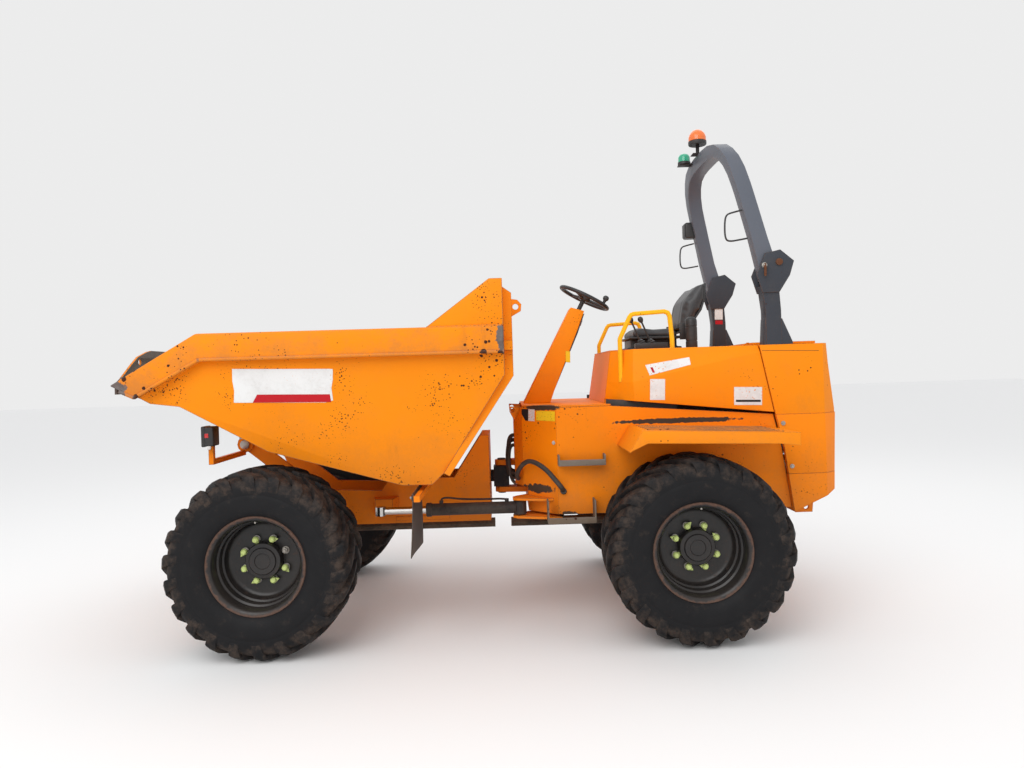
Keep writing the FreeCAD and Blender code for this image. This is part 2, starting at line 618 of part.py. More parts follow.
def front_chassis():
    low, high = FRAME_LOW_Z, 1257
    line = [(TOWER_X, low), (TOWER_X, high), (95, high), (292, 960), (760, 960), (820, 880), (1240, 900), (1700, 1270),
            (1755, 1297), (1815, 1290), (1840, 1245), (1656, 1097), (1560, 860), (1560, low + 50), (1300, low + 50),
            (1250, low)]
    walls = both(side_plate(line, FRAME_HALF - 20, FRAME_HALF))
    wide = FRAME_HALF - 10
    rear = box(TOWER_X, TOWER_X + 20, -wide, wide, low, high)
    top = box(TOWER_X, 95, -wide, wide, high - 14, high)
    belly = box(TOWER_X, 1150, -wide, wide, low, low + 14)
    nose = box(1500, 1560, -wide, wide, 740, 860)
    sleeve = flat_bar((TOWER_X, 0, TRUNNION_Z), (270, 0, TRUNNION_Z), 75)
    brace = box(256, 270, -wide, wide, 840, 955)
    x = AXLE_X["front"]
    seat_axle = both(box(x - 60, x + 60, FRAME_HALF - 100, FRAME_HALF, AXLE_Z + BEAM_HALF, low + 60))
    px, pz = SKIP_PIN
    bushes = both(flat_bar((px, FRAME_HALF - 4, pz), (px, FRAME_HALF + 20, pz), 58))
    bx, bz = TIP_BASE
    ear = [(bx - 60, low + 14), (bx - 60, bz + 30), (bx, bz + 60), (bx + 60, bz + 30), (bx + 60, low + 14)]
    ears = both(side_plate(ear, 62, 82))
    ear_pin = bar((bx, -62, bz), (bx, 62, bz), 25)
    flap_arm = both(box(440, 480, FRAME_HALF - 5, 1150, 930, 970))
    lamp_arm = both(box(1790, 1822, FRAME_HALF - 5, 870, 1168, 1200))
    lamp_up = both(box(1790, 1822, 840, 870, 1168, 1290))
    body = fuse(*walls, rear, top, belly, nose, sleeve, brace, *seat_axle, *bushes, *ears, ear_pin, *flap_arm,
                *lamp_arm, *lamp_up)
    body = body.cut(flat_bar((TOWER_X - 10, 0, TRUNNION_Z), (300, 0, TRUNNION_Z), 45.3, bore=True))
    body = body.cut(flat_bar((px, -400, pz), (px, 400, pz), 25, bore=True))
    save("front_chassis", body)
    save("skip_pin", *both(bar((px, FRAME_HALF - 60, pz), (px, FRAME_HALF + 32, pz), 25)))
    save("front_axle", axle(x, -1))
    save("prop_front", flat_bar((x - 250, 0, AXLE_Z), (PIVOT_X + 60, 0, AXLE_Z), 35, 8))
    save("mud_flaps", *both(box(480, 486, 700, 1150, 590, 985)))
    save("headlamps", *both(box(1766, 1850, 820, 930, 1290, 1415)))


def steer_bracket():
    """Block on the front frame's side, inboard of the steering rod's eye."""
    x, y = STEER_FRONT
    root = y - 140
    plan = [(x - 90, FRAME_HALF), (x - 60, root), (x + 60, root), (x + 90, FRAME_HALF)]
    save("steer_bracket", floor_plate(plan, STEER_Z - 60, STEER_Z + 60))


def tip_ram():
    (bx, bz), (ex, ez) = TIP_BASE, TIP_EYE
    run = Vector(ex - bx, 0, ez - bz)
    length = run.Length
    along = run.normalize()
    base, eye = Vector(bx, 0, bz), Vector(ex, 0, ez)
    across = Vector(0, 1, 0)
    barrel = fuse(flat_bar(base - across * 55, base + across * 55, 48),
                  flat_bar(base + along * 30, base + along * 670, 58))
    barrel = barrel.cut(flat_bar(base - across * 100, base + across * 100, 25.3, bore=True))
    barrel = barrel.cut(flat_bar(base + along * 90, base + along * 730, 34.5, bore=True))
    save("tip_barrel", barrel)
    rod = fuse(flat_bar(base + along * 110, base + along * (length - 30), 34),
               flat_bar(eye - across * 45, eye + across * 45, 45))
    save("tip_rod", rod)


# Skip

SKIP_LINE = [(SKIP_BACK_X, 2279), (SKIP_BACK_X, 1689), (304, 1081), (381, 1009), (569, 1009), (1399, 1251),
             (1928, 1551), (2107, 1575), SKIP_TIP]
SKIP_TOP = [(1780, 1996), (1136, RIM_Z), (378, RIM_Z), (-17, 2279)]
PLATE = 14


def offset_line(line, distance):
    """The line moved sideways by a distance, with its corners kept sharp."""
    moved = []
    for k, point in enumerate(line):
        here = Vector(point[0], point[1], 0)
        normals = []
        for a, b in ((k - 1, k), (k, k + 1)):
            if a < 0 or b >= len(line):
                continue
            run = Vector(line[b][0] - line[a][0], line[b][1] - line[a][1], 0).normalize()
            normals.append(Vector(-run.y, run.x, 0))
        if len(normals) == 1:
            shift = normals[0] * distance
        else:
            total = normals[0] + normals[1]
            shift = total * (2 * distance / total.Length / total.Length)
        moved.append((here.x + shift.x, here.y + shift.y))
    return moved


def skip_section(inset, top):
    low, high = SKIP_FLOOR_HALF - inset, SKIP_TOP_HALF - inset
    half = [(low, 1000), (high, 1830), (high, top)]
    return half + [(-y, z) for y, z in reversed(half)]


def skip():
    outer = side_plate(SKIP_LINE + SKIP_TOP, -1200, 1200).common(cross_plate(skip_section(0, 2400), -200, 2400))
    floor = offset_line(SKIP_LINE, PLATE)
    inner = side_plate(floor + [(2400, 2500), (SKIP_BACK_X + PLATE, 2500)], -1200, 1200)
    inner = inner.common(cross_plate(skip_section(PLATE, 2600), -300, 2500))
    tub = outer.cut(inner)
    # columns: Y, Z
    half = [(SKIP_TOP_HALF, 1640), (SKIP_TOP_HALF, 1705), (1019, 1737), (888, 1822), (792, 1878), (662, 1914),
            (600, 1924)]
    lip = cross_plate(half + [(-y, z) for y, z in reversed(half)], SKIP_TIP[0] - 19, SKIP_TIP[0] - 5)
    holes = [bar((2200, side * 770, 1845), (2400, side * 770, 1845), 20) for side in SIDES.values()]
    for hole in holes:
        lip = lip.cut(hole)
    ledge = box(SKIP_BACK_X, -17, -SKIP_TOP_HALF, SKIP_TOP_HALF, 2265, 2279)
    tub = fuse(tub, ledge, lip)
    px, pz = SKIP_PIN
    arm = [(1500, 1304), (1700, 1215), (1735, 1195), (1800, 1188), (1842, 1230), (1852, 1514), (1560, 1349),
           (1500, 1315)]
    arms = both(side_plate(arm, FRAME_HALF - 50, FRAME_HALF - 28))
    hole = flat_bar((px, -400, pz), (px, 400, pz), 25.3, bore=True)
    ex, ez = TIP_EYE
    ear = [(ex - 110, 1142), (ex - 110, 1125), (ex - 45, ez - 20), (ex, ez - 42), (ex + 45, ez - 20),
           (ex + 110, 1172), (ex + 110, 1206)]
    ears = both(side_plate(ear, 55, 73))
    eye_pins = both(flat_bar((ex, 52, ez), (ex, 80, ez), 22, 8))
    under = fuse(*arms, *ears, *eye_pins, tub).cut(hole)
    save("skip", under)
    line = [(SKIP_BACK_X, 1835), (1765, 1841), (2163, 1622), (2250, 1662), SKIP_TIP, (1780, 1996), (378, RIM_Z),
            (SKIP_BACK_X, RIM_Z)]
    bands = both(side_plate(line, SKIP_TOP_HALF, BAND_HALF))
    save("skip_band", *bands)
    gable = [(SKIP_BACK_X, RIM_Z), (378, RIM_Z), (-17, 2279), (SKIP_BACK_X, 2279)]
    save("skip_gables", *both(side_plate(gable, SKIP_TOP_HALF, BAND_HALF - 15)))
    outline = [(SKIP_BACK_X, 2240), (SKIP_BACK_X - 55, 2200), (SKIP_BACK_X - 55, 1680), (268, 1062), (304, 1081),
               (SKIP_BACK_X, 1689)]
    ribs = [side_plate(outline, y - 12, y + 12) for y in (-980, -830, 830, 980)]
    rail_half = SKIP_TOP_HALF - 20
    rail = box(SKIP_BACK_X - 55, SKIP_BACK_X, -rail_half, rail_half, 1840, 1900)
    x, hole_z = SKIP_BACK_X, 2198
    lug = side_plate([(x, 2268), (x - 110, 2250), (x - 140, 2215), (x - 135, 2165), (x, 2090)], -8, 8)
    lug = lug.cut(flat_bar((x - 95, -20, hole_z), (x - 95, 20, hole_z), 22, bore=True))
    save("skip_ribs", fuse(rail, lug, *ribs))


os.makedirs("parts", exist_ok=True)
wheels()
rear_chassis()
deck()
tail()
rear_shell()
engine_cover()
side_covers()
fenders()
steps()
handrails()
driver_place()
rops()
steering_ram()
centre_pivot()
front_chassis()
steer_bracket()
tip_ram()
skip()
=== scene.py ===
import math
import random

import bmesh
import bpy
from mathutils import Matrix, Vector
from mathutils.bvhtree import BVHTree


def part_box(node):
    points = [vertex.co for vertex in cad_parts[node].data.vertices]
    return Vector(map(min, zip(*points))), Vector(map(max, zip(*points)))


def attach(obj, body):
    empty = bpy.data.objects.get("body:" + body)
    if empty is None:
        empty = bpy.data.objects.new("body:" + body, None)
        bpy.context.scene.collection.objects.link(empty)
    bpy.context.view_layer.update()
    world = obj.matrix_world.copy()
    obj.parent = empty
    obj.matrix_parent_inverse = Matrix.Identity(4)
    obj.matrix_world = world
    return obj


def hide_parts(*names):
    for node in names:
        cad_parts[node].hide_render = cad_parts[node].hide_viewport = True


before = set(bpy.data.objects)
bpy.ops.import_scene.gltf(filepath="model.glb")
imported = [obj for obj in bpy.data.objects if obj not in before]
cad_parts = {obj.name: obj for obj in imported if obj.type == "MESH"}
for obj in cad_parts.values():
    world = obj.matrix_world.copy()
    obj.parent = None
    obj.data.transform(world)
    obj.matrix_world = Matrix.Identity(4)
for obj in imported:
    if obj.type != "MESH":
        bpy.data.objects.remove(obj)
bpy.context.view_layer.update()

bl_info = {
    "name": "Site dumper dressing",
    "version": (1, 0, 0),
    "blender": (4, 5, 0),
    "location": "3D View > Sidebar > Dumper",
    "description": "Adds tyres, wheels, seat, lamps, hoses, labels and finishes to a site dumper frame",
    "category": "Object",
}

# All lengths are in metres: X forward to the skip, Y to the driver's left, Z up
LEFT, RIGHT = 1, -1
SIDES = {"left": LEFT, "right": RIGHT}
WHEELS = {f"{end}_{side}": sum(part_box(f"tyre_{end}_{side}"), Vector()) / 2
          for end in ("front", "rear") for side in SIDES}
COVER_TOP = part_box("engine_cover")[1].z


# Meshes

def block(low, high, rounding=0.0, segments=2):
    """A box between two corners, its edges rounded."""
    bm = bmesh.new()
    low, high = Vector(low), Vector(high)
    bmesh.ops.create_cube(bm, size=1.0)
    bmesh.ops.scale(bm, vec=high - low, verts=bm.verts)
    bmesh.ops.translate(bm, vec=(low + high) / 2, verts=bm.verts)
    return rounded(bm, rounding, segments)


def rounded(bm, rounding, segments=2, angle=0.5):
    """Bevels the edges that turn more than an angle."""
    if rounding:
        edges = [e for e in bm.edges if len(e.link_faces) == 2 and e.calc_face_angle(0) > angle]
        bmesh.ops.bevel(bm, geom=edges, offset=rounding, offset_type="OFFSET", segments=segments,
                        profile=0.5, affect="EDGES", clamp_overlap=True, material=-1)
    return bm


def pushed(bm, way):
    """Pushes all faces along a way with their sides closed, and returns the moved points."""
    made = bmesh.ops.extrude_face_region(bm, geom=list(bm.faces))["geom"]
    verts = [v for v in made if isinstance(v, bmesh.types.BMVert)]
    bmesh.ops.translate(bm, vec=way, verts=verts)
    return verts


def plate(corners, way):
    """A flat face with those corners, pushed along a way."""
    bm = bmesh.new()
    bm.faces.new([bm.verts.new(corner) for corner in corners])
    pushed(bm, way)
    bmesh.ops.recalc_face_normals(bm, faces=bm.faces)
    return bm


def panel(outline, start, end, rounding=0.0, segments=2):
    """An outline in X and Z, pushed from one Y to another."""
    bm = plate([(x, start, z) for x, z in outline], (0, end - start, 0))
    return rounded(bm, rounding, segments)


def rod(start, end, radius, sides=20, rounding=0.0, end_radius=None):
    """A round bar between two points."""
    a, b = Vector(start), Vector(end)
    bm = bmesh.new()
    bmesh.ops.create_cone(bm, cap_ends=True, segments=sides, radius1=radius,
                          radius2=radius if end_radius is None else end_radius, depth=(b - a).length)
    turn = (b - a).to_track_quat("Z", "Y").to_matrix().to_4x4()
    bmesh.ops.transform(bm, matrix=Matrix.Translation((a + b) / 2) @ turn, verts=bm.verts)
    return rounded(bm, rounding, 2, 0.9)


def turned(profile, centre, axis=(0, 1, 0), steps=64):
    """A profile of distance along an axis and radius, spun full round it. A radius of 0 closes an end."""
    bm = bmesh.new()
    verts = [bm.verts.new((r, 0, h)) for h, r in profile]
    closed_ends = profile[0][1] == 0 or profile[-1][1] == 0
    pairs = list(zip(verts, verts[1:]))
    if not closed_ends:
        pairs.append((verts[-1], verts[0]))
    edges = [bm.edges.new(pair) for pair in pairs]
    bmesh.ops.spin(bm, geom=verts + edges, cent=(0, 0, 0), axis=(0, 0, 1), angle=2 * math.pi,
                   steps=steps, use_merge=True, use_duplicate=False)
    bmesh.ops.remove_doubles(bm, verts=bm.verts, dist=1e-6)
    bmesh.ops.recalc_face_normals(bm, faces=bm.faces)
    turn = Vector(axis).to_track_quat("Z", "Y").to_matrix().to_4x4()
    bmesh.ops.transform(bm, matrix=Matrix.Translation(Vector(centre)) @ turn, verts=bm.verts)
    return bm


def hose(points, radius):
    """A tube on a smooth line with those control points."""
    curve = bpy.data.curves.new("line", "CURVE")
    curve.dimensions = "3D"
    line = curve.splines.new("NURBS")
    line.points.add(len(points) - 1)
    for point, place in zip(line.points, points):
        point.co = (*place, 1)
    line.order_u = 3
    line.use_endpoint_u = True
    curve.resolution_u = 8
    curve.bevel_depth = radius
    curve.bevel_resolution = 3
    curve.use_fill_caps = True
    carrier = bpy.data.objects.new("line", curve)
    mesh = bpy.data.meshes.new_from_object(carrier)
    bm = bmesh.new()
    bm.from_mesh(mesh)
    bmesh.ops.remove_doubles(bm, verts=bm.verts, dist=1e-6)
    bmesh.ops.recalc_face_normals(bm, faces=bm.faces)
    bpy.data.objects.remove(carrier)
    bpy.data.curves.remove(curve)
    bpy.data.meshes.remove(mesh)
    return bm


def softened(node, rounding, segments=2, angle=0.4):
    """A copy of a frame node with its loose triangles joined and its edges rounded."""
    bm = bmesh.new()
    bm.from_mesh(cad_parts[node].data)
    bmesh.ops.remove_doubles(bm, verts=bm.verts, dist=2e-5)
    bmesh.ops.dissolve_limit(bm, angle_limit=0.01, verts=bm.verts, edges=bm.edges)
    return rounded(bm, rounding, segments, angle)


def opposite(bm):
    """The mesh's mirror image across the machine's middle plane."""
    other = bm.copy()
    bmesh.ops.scale(other, vec=(1, -1, 1), verts=other.verts)
    bmesh.ops.reverse_faces(other, faces=other.faces)
    return other


def both(*parts):
    """Parts with their mirror images. A part is a mesh, or a mesh and the number of its finish."""
    numbered = [part if isinstance(part, tuple) else (part, 0) for part in parts]
    return numbered + [(opposite(bm), number) for bm, number in numbered]


def shift(bm, place, side):
    """The mesh made for the left side, moved to its place on a side."""
    if side == RIGHT:
        bm = opposite(bm)
    bmesh.ops.translate(bm, vec=place, verts=bm.verts)
    return bm


def tag(bm, name, value):
    """Stores one value on all points of a mesh, for its material to read."""
    layer = bm.verts.layers.float.get(name) or bm.verts.layers.float.new(name)
    for vert in bm.verts:
        vert[layer] = value
    return bm


def piece(name, parts, body, finishes, replaces=(), smooth=32):
    """One object from meshes. A part is a mesh, or a mesh and the number of its finish."""
    whole = bpy.data.meshes.new(name)
    gathered = bmesh.new()
    for item in parts:
        bm, number = item if isinstance(item, tuple) else (item, 0)
        for face in bm.faces:
            face.material_index = number
        step = bpy.data.meshes.new("step")
        bm.to_mesh(step)
        bm.free()
        gathered.from_mesh(step)
        bpy.data.meshes.remove(step)
    for face in gathered.faces:
        face.smooth = True
    for edge in gathered.edges:
        if len(edge.link_faces) == 2 and edge.calc_face_angle(0) > math.radians(smooth):
            edge.smooth = False
    gathered.to_mesh(whole)
    gathered.free()
    thing = bpy.data.objects.new(name, whole)
    bpy.context.collection.objects.link(thing)
    for finish in finishes:
        whole.materials.append(MATERIALS[finish])
    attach(thing, body)
    if replaces:
        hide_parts(*replaces)
    return thing


def pressed(name, node, finish, rounding, segments=2, angle=0.4, body="rear_frame"):
    """A frame node's copy with rounded edges, in the node's stead."""
    piece(name, [softened(node, rounding, segments, angle)], body, [finish], [node])


def dress(finish, *nodes):
    """Gives frame nodes one of the materials."""
    for node in nodes:
        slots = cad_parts[node].data.materials
        slots.clear()
        slots.append(MATERIALS[finish])


# Shader groups and materials

GROUPS = {}
MATERIALS = {}
MUD = (0.16, 0.115, 0.08)
# Scuffed patches, and thin dark bands of painted shade under overhanging edges: middle and radii
LIP_SCUFF = ((2.3, 0.0, 1.66), (0.1, 9.0, 0.1))
BAND_END_SCUFF = ((-0.1, 1.13, 1.93), (0.05, 0.1, 0.1))
UNDER_EDGE_SHADE = [((-0.27, 0.6, 0.9), (0.14, 0.2, 0.035)), ((-0.33, 0.6, 1.455), (0.15, 0.2, 0.02)),
          ((-1.25, 0.66, 1.345), (0.45, 0.1, 0.018)), ((-0.5, 0.62, 0.735), (0.08, 0.1, 0.03))]


def new_group(name, result, **values):
    """A node group that takes a vector and named values and puts out one value."""
    tree = bpy.data.node_groups.new(name, "ShaderNodeTree")
    tree.interface.new_socket("Vector", in_out="INPUT", socket_type="NodeSocketVector")
    for label, default in values.items():
        socket = tree.interface.new_socket(label, in_out="INPUT", socket_type="NodeSocketFloat")
        socket.default_value = default
    tree.interface.new_socket(result, in_out="OUTPUT", socket_type="NodeSocketFloat")
    GROUPS[name] = tree
    return tree, tree.nodes.new("NodeGroupInput").outputs, tree.nodes.new("NodeGroupOutput").inputs


def add(tree, kind, inputs=None, **settings):
    """A node with its settings, its inputs linked or set."""
    node = tree.nodes.new(kind)
    for key, value in settings.items():
        setattr(node, key, value)
    for key, value in (inputs or {}).items():
        socket = node.inputs[key]
        if isinstance(value, bpy.types.NodeSocket):
            tree.links.new(value, socket)
        else:
            socket.default_value = value
    return node


def math_node(tree, operation, *values, clamp=False):
    node = add(tree, "ShaderNodeMath", dict(enumerate(values)), operation=operation, use_clamp=clamp)
    return node.outputs[0]


def plus(tree, *values, clamp=False):
    return math_node(tree, "ADD", *values, clamp=clamp)


def minus(tree, *values):
    return math_node(tree, "SUBTRACT", *values)


def times(tree, *values, clamp=False):
    return math_node(tree, "MULTIPLY", *values, clamp=clamp)


def mix_colour(tree, factor, a, b):
    """One colour over another. A colour is a socket or three numbers."""
    a, b = (c if isinstance(c, bpy.types.NodeSocket) else (*c, 1) for c in (a, b))
    return add(tree, "ShaderNodeMix", {0: factor, 6: a, 7: b}, data_type="RGBA", blend_type="MIX").outputs[2]


def ramp(tree, value, low, high):
    """0 below low, 1 above high, smooth between them."""
    node = add(tree, "ShaderNodeMapRange", {"Value": value, "From Min": low, "From Max": high},
               interpolation_type="SMOOTHSTEP")
    return node.outputs["Result"]


def noise(tree, vector, scale, detail, roughness):
    node = add(tree, "ShaderNodeTexNoise", {"Vector": vector, "Scale": scale, "Detail": detail,
                                            "Roughness": roughness})
    return node.outputs["Fac"]


def build_groups():
    """Edge wear, chips, dirt, streaks and grain, shared by the materials."""
    tree, given, out = new_group("edge wear", "Mask", Width=0.008, Amount=0.5)
    soft = add(tree, "ShaderNodeBevel", {"Radius": given["Width"]}, samples=4)
    plain = add(tree, "ShaderNodeNewGeometry")
    dot = add(tree, "ShaderNodeVectorMath", {0: soft.outputs[0], 1: plain.outputs["Normal"]},
              operation="DOT_PRODUCT")
    bend = ramp(tree, minus(tree, 1.0, dot.outputs["Value"]), 0.02, 0.2)
    broken = noise(tree, given["Vector"], 38.0, 5.0, 0.7)
    limit = minus(tree, 1.0, given["Amount"])
    worn = ramp(tree, times(tree, bend, plus(tree, broken, 0.35)), limit, plus(tree, limit, 0.12))
    tree.links.new(worn, out["Mask"])

    tree, given, out = new_group("chips", "Mask", Scale=30.0, Amount=0.3, Patch=1.6)
    cells = add(tree, "ShaderNodeTexVoronoi", {"Vector": given["Vector"], "Scale": given["Scale"]})
    ragged = noise(tree, given["Vector"], 140.0, 3.0, 0.7)
    patch = noise(tree, given["Vector"], given["Patch"], 3.0, 0.55)
    size = times(tree, ramp(tree, patch, 0.42, 0.72), given["Amount"])
    spot = minus(tree, plus(tree, size, times(tree, ragged, 0.12)), cells.outputs["Distance"])
    tree.links.new(ramp(tree, spot, 0.04, 0.07), out["Mask"])

    tree, given, out = new_group("dirt", "Mask", Low=0.3, High=1.2, Amount=0.5)
    above = add(tree, "ShaderNodeSeparateXYZ", {0: given["Vector"]}).outputs["Z"]
    height = add(tree, "ShaderNodeMapRange", {"Value": above, "From Min": given["High"],
                                              "From Max": given["Low"]}).outputs["Result"]
    cloud = noise(tree, given["Vector"], 5.5, 8.0, 0.68)
    fine = noise(tree, given["Vector"], 60.0, 4.0, 0.7)
    clouds = plus(tree, times(tree, cloud, 0.7), times(tree, fine, 0.3))
    level = plus(tree, clouds, times(tree, height, 0.35))
    tree.links.new(times(tree, ramp(tree, level, 0.46, 0.85), given["Amount"], clamp=True), out["Mask"])

    tree, given, out = new_group("streaks", "Mask", Amount=0.3)
    stretch = add(tree, "ShaderNodeMapping", {"Vector": given["Vector"], "Scale": (9.0, 9.0, 0.9)})
    runs = noise(tree, stretch.outputs[0], 2.2, 5.0, 0.62)
    wide = noise(tree, given["Vector"], 1.4, 2.0, 0.5)
    level = times(tree, ramp(tree, runs, 0.55, 0.8), ramp(tree, wide, 0.4, 0.7))
    tree.links.new(times(tree, level, given["Amount"]), out["Mask"])

    tree, given, out = new_group("grain", "Height", Scale=240.0)
    fine = noise(tree, given["Vector"], given["Scale"], 3.0, 0.6)
    wave = noise(tree, given["Vector"], 12.0, 2.0, 0.5)
    tree.links.new(plus(tree, times(tree, fine, 0.3), wave), out["Height"])


def use(tree, group, vector, **values):
    """The output of one of the shared groups."""
    node = tree.nodes.new("ShaderNodeGroup")
    node.node_tree = GROUPS[group]
    tree.links.new(vector, node.inputs["Vector"])
    for key, value in values.items():
        node.inputs[key].default_value = value
    return node.outputs[0]


def start_material(name):
    """A new material's tree, its shader and the object's own coordinates."""
    material = bpy.data.materials.new(name)
    material.use_nodes = True
    tree = material.node_tree
    shader = tree.nodes["Principled BSDF"]
    coordinates = add(tree, "ShaderNodeTexCoord").outputs["Object"]
    MATERIALS[name] = material
    return tree, shader, coordinates


def scuff(tree, vector, centre, radii):
    """A ragged patch round a place, 1 in its middle."""
    offset = add(tree, "ShaderNodeVectorMath", {0: vector, 1: centre}, operation="SUBTRACT").outputs[0]
    scaled = add(tree, "ShaderNodeVectorMath", {0: offset, 1: radii}, operation="DIVIDE").outputs[0]
    far = add(tree, "ShaderNodeVectorMath", {0: scaled}, operation="LENGTH").outputs["Value"]
    ragged = times(tree, noise(tree, vector, 26.0, 6.0, 0.72), 1.6)
    return ramp(tree, minus(tree, plus(tree, 0.2, ragged), far), 0.0, 0.12)


def surface(tree, shader, tone, rough, height, strength, distance, specular=0.5):
    """Feeds a material's colour, roughness and bump to its shader."""
    bump = add(tree, "ShaderNodeBump", {"Height": height, "Strength": strength, "Distance": distance})
    for name, source in (("Base Color", tone), ("Roughness", rough), ("Normal", bump.outputs[0])):
        tree.links.new(source, shader.inputs[name])
    shader.inputs["Specular IOR Level"].default_value = specular


def painted(name, colour, gloss=0.52, metal=(0.11, 0.075, 0.055), rust=(0.06, 0.022, 0.012), chips=0.2,
            scale=26.0, wear=0.5, width=0.008, dirt=0.4, low=0.35, high=1.3, streaks=0.3, mud=MUD, specks=0.0,
            scuffs=(), under_edge_shade=()):
    """Painted steel: its colour varies a little, with dirt low down, streaks, chips and worn edges."""
    tree, shader, vector = start_material(name)
    shade = noise(tree, vector, 1.9, 3.0, 0.5)
    tone = mix_colour(tree, shade, [c * 0.86 for c in colour], [min(c * 1.06, 1) for c in colour])
    dust = use(tree, "dirt", vector, Low=low, High=high, Amount=dirt)
    streaks_and_shade = use(tree, "streaks", vector, Amount=streaks)
    # Thin dark bands of painted shade under overhanging edges join the streaks.
    for centre, radii in under_edge_shade:
        streaks_and_shade = math_node(tree, "MAXIMUM", streaks_and_shade, scuff(tree, vector, centre, radii))
    spots = use(tree, "chips", vector, Scale=scale, Amount=chips)
    if specks:
        fine = use(tree, "chips", vector, Scale=scale * 2.7, Amount=specks, Patch=3.2)
        spots = math_node(tree, "MAXIMUM", spots, fine)
    edge = use(tree, "edge wear", vector, Width=width, Amount=wear)
    for centre, radii in scuffs:
        edge = math_node(tree, "MAXIMUM", edge, scuff(tree, vector, centre, radii))
    tone = mix_colour(tree, streaks_and_shade, tone, [c * 0.35 for c in mud])
    tone = mix_colour(tree, dust, tone, mud)
    tone = mix_colour(tree, spots, tone, rust)
    bare = mix_colour(tree, noise(tree, vector, 22.0, 4.0, 0.6), rust, metal)
    tone = mix_colour(tree, edge, tone, bare)
    rough = plus(tree, gloss, times(tree, math_node(tree, "MAXIMUM", dust, spots), 0.4), clamp=True)
    rough = plus(tree, rough, times(tree, edge, 0.1), clamp=True)
    height = minus(tree, use(tree, "grain", vector, Scale=260.0), times(tree, spots, 1.2))
    surface(tree, shader, tone, rough, height, 0.12, 0.002, 0.14)


def plain(name, colour, second, roughness, scale, bump, metallic=0.0, dirt=0.25, coat=0.0):
    """Plastic, rubber, vinyl or bare metal: two tones broken up by noise, with dust and a fine surface."""
    tree, shader, vector = start_material(name)
    tone = mix_colour(tree, noise(tree, vector, scale, 5.0, 0.6), colour, second)
    dust = use(tree, "dirt", vector, Low=0.2, High=1.5, Amount=dirt)
    rough = plus(tree, roughness, times(tree, dust, 0.3), clamp=True)
    surface(tree, shader, mix_colour(tree, dust, tone, MUD), rough, use(tree, "grain", vector, Scale=420.0),
            bump, 0.0015)
    shader.inputs["Metallic"].default_value = metallic
    shader.inputs["Coat Weight"].default_value = coat


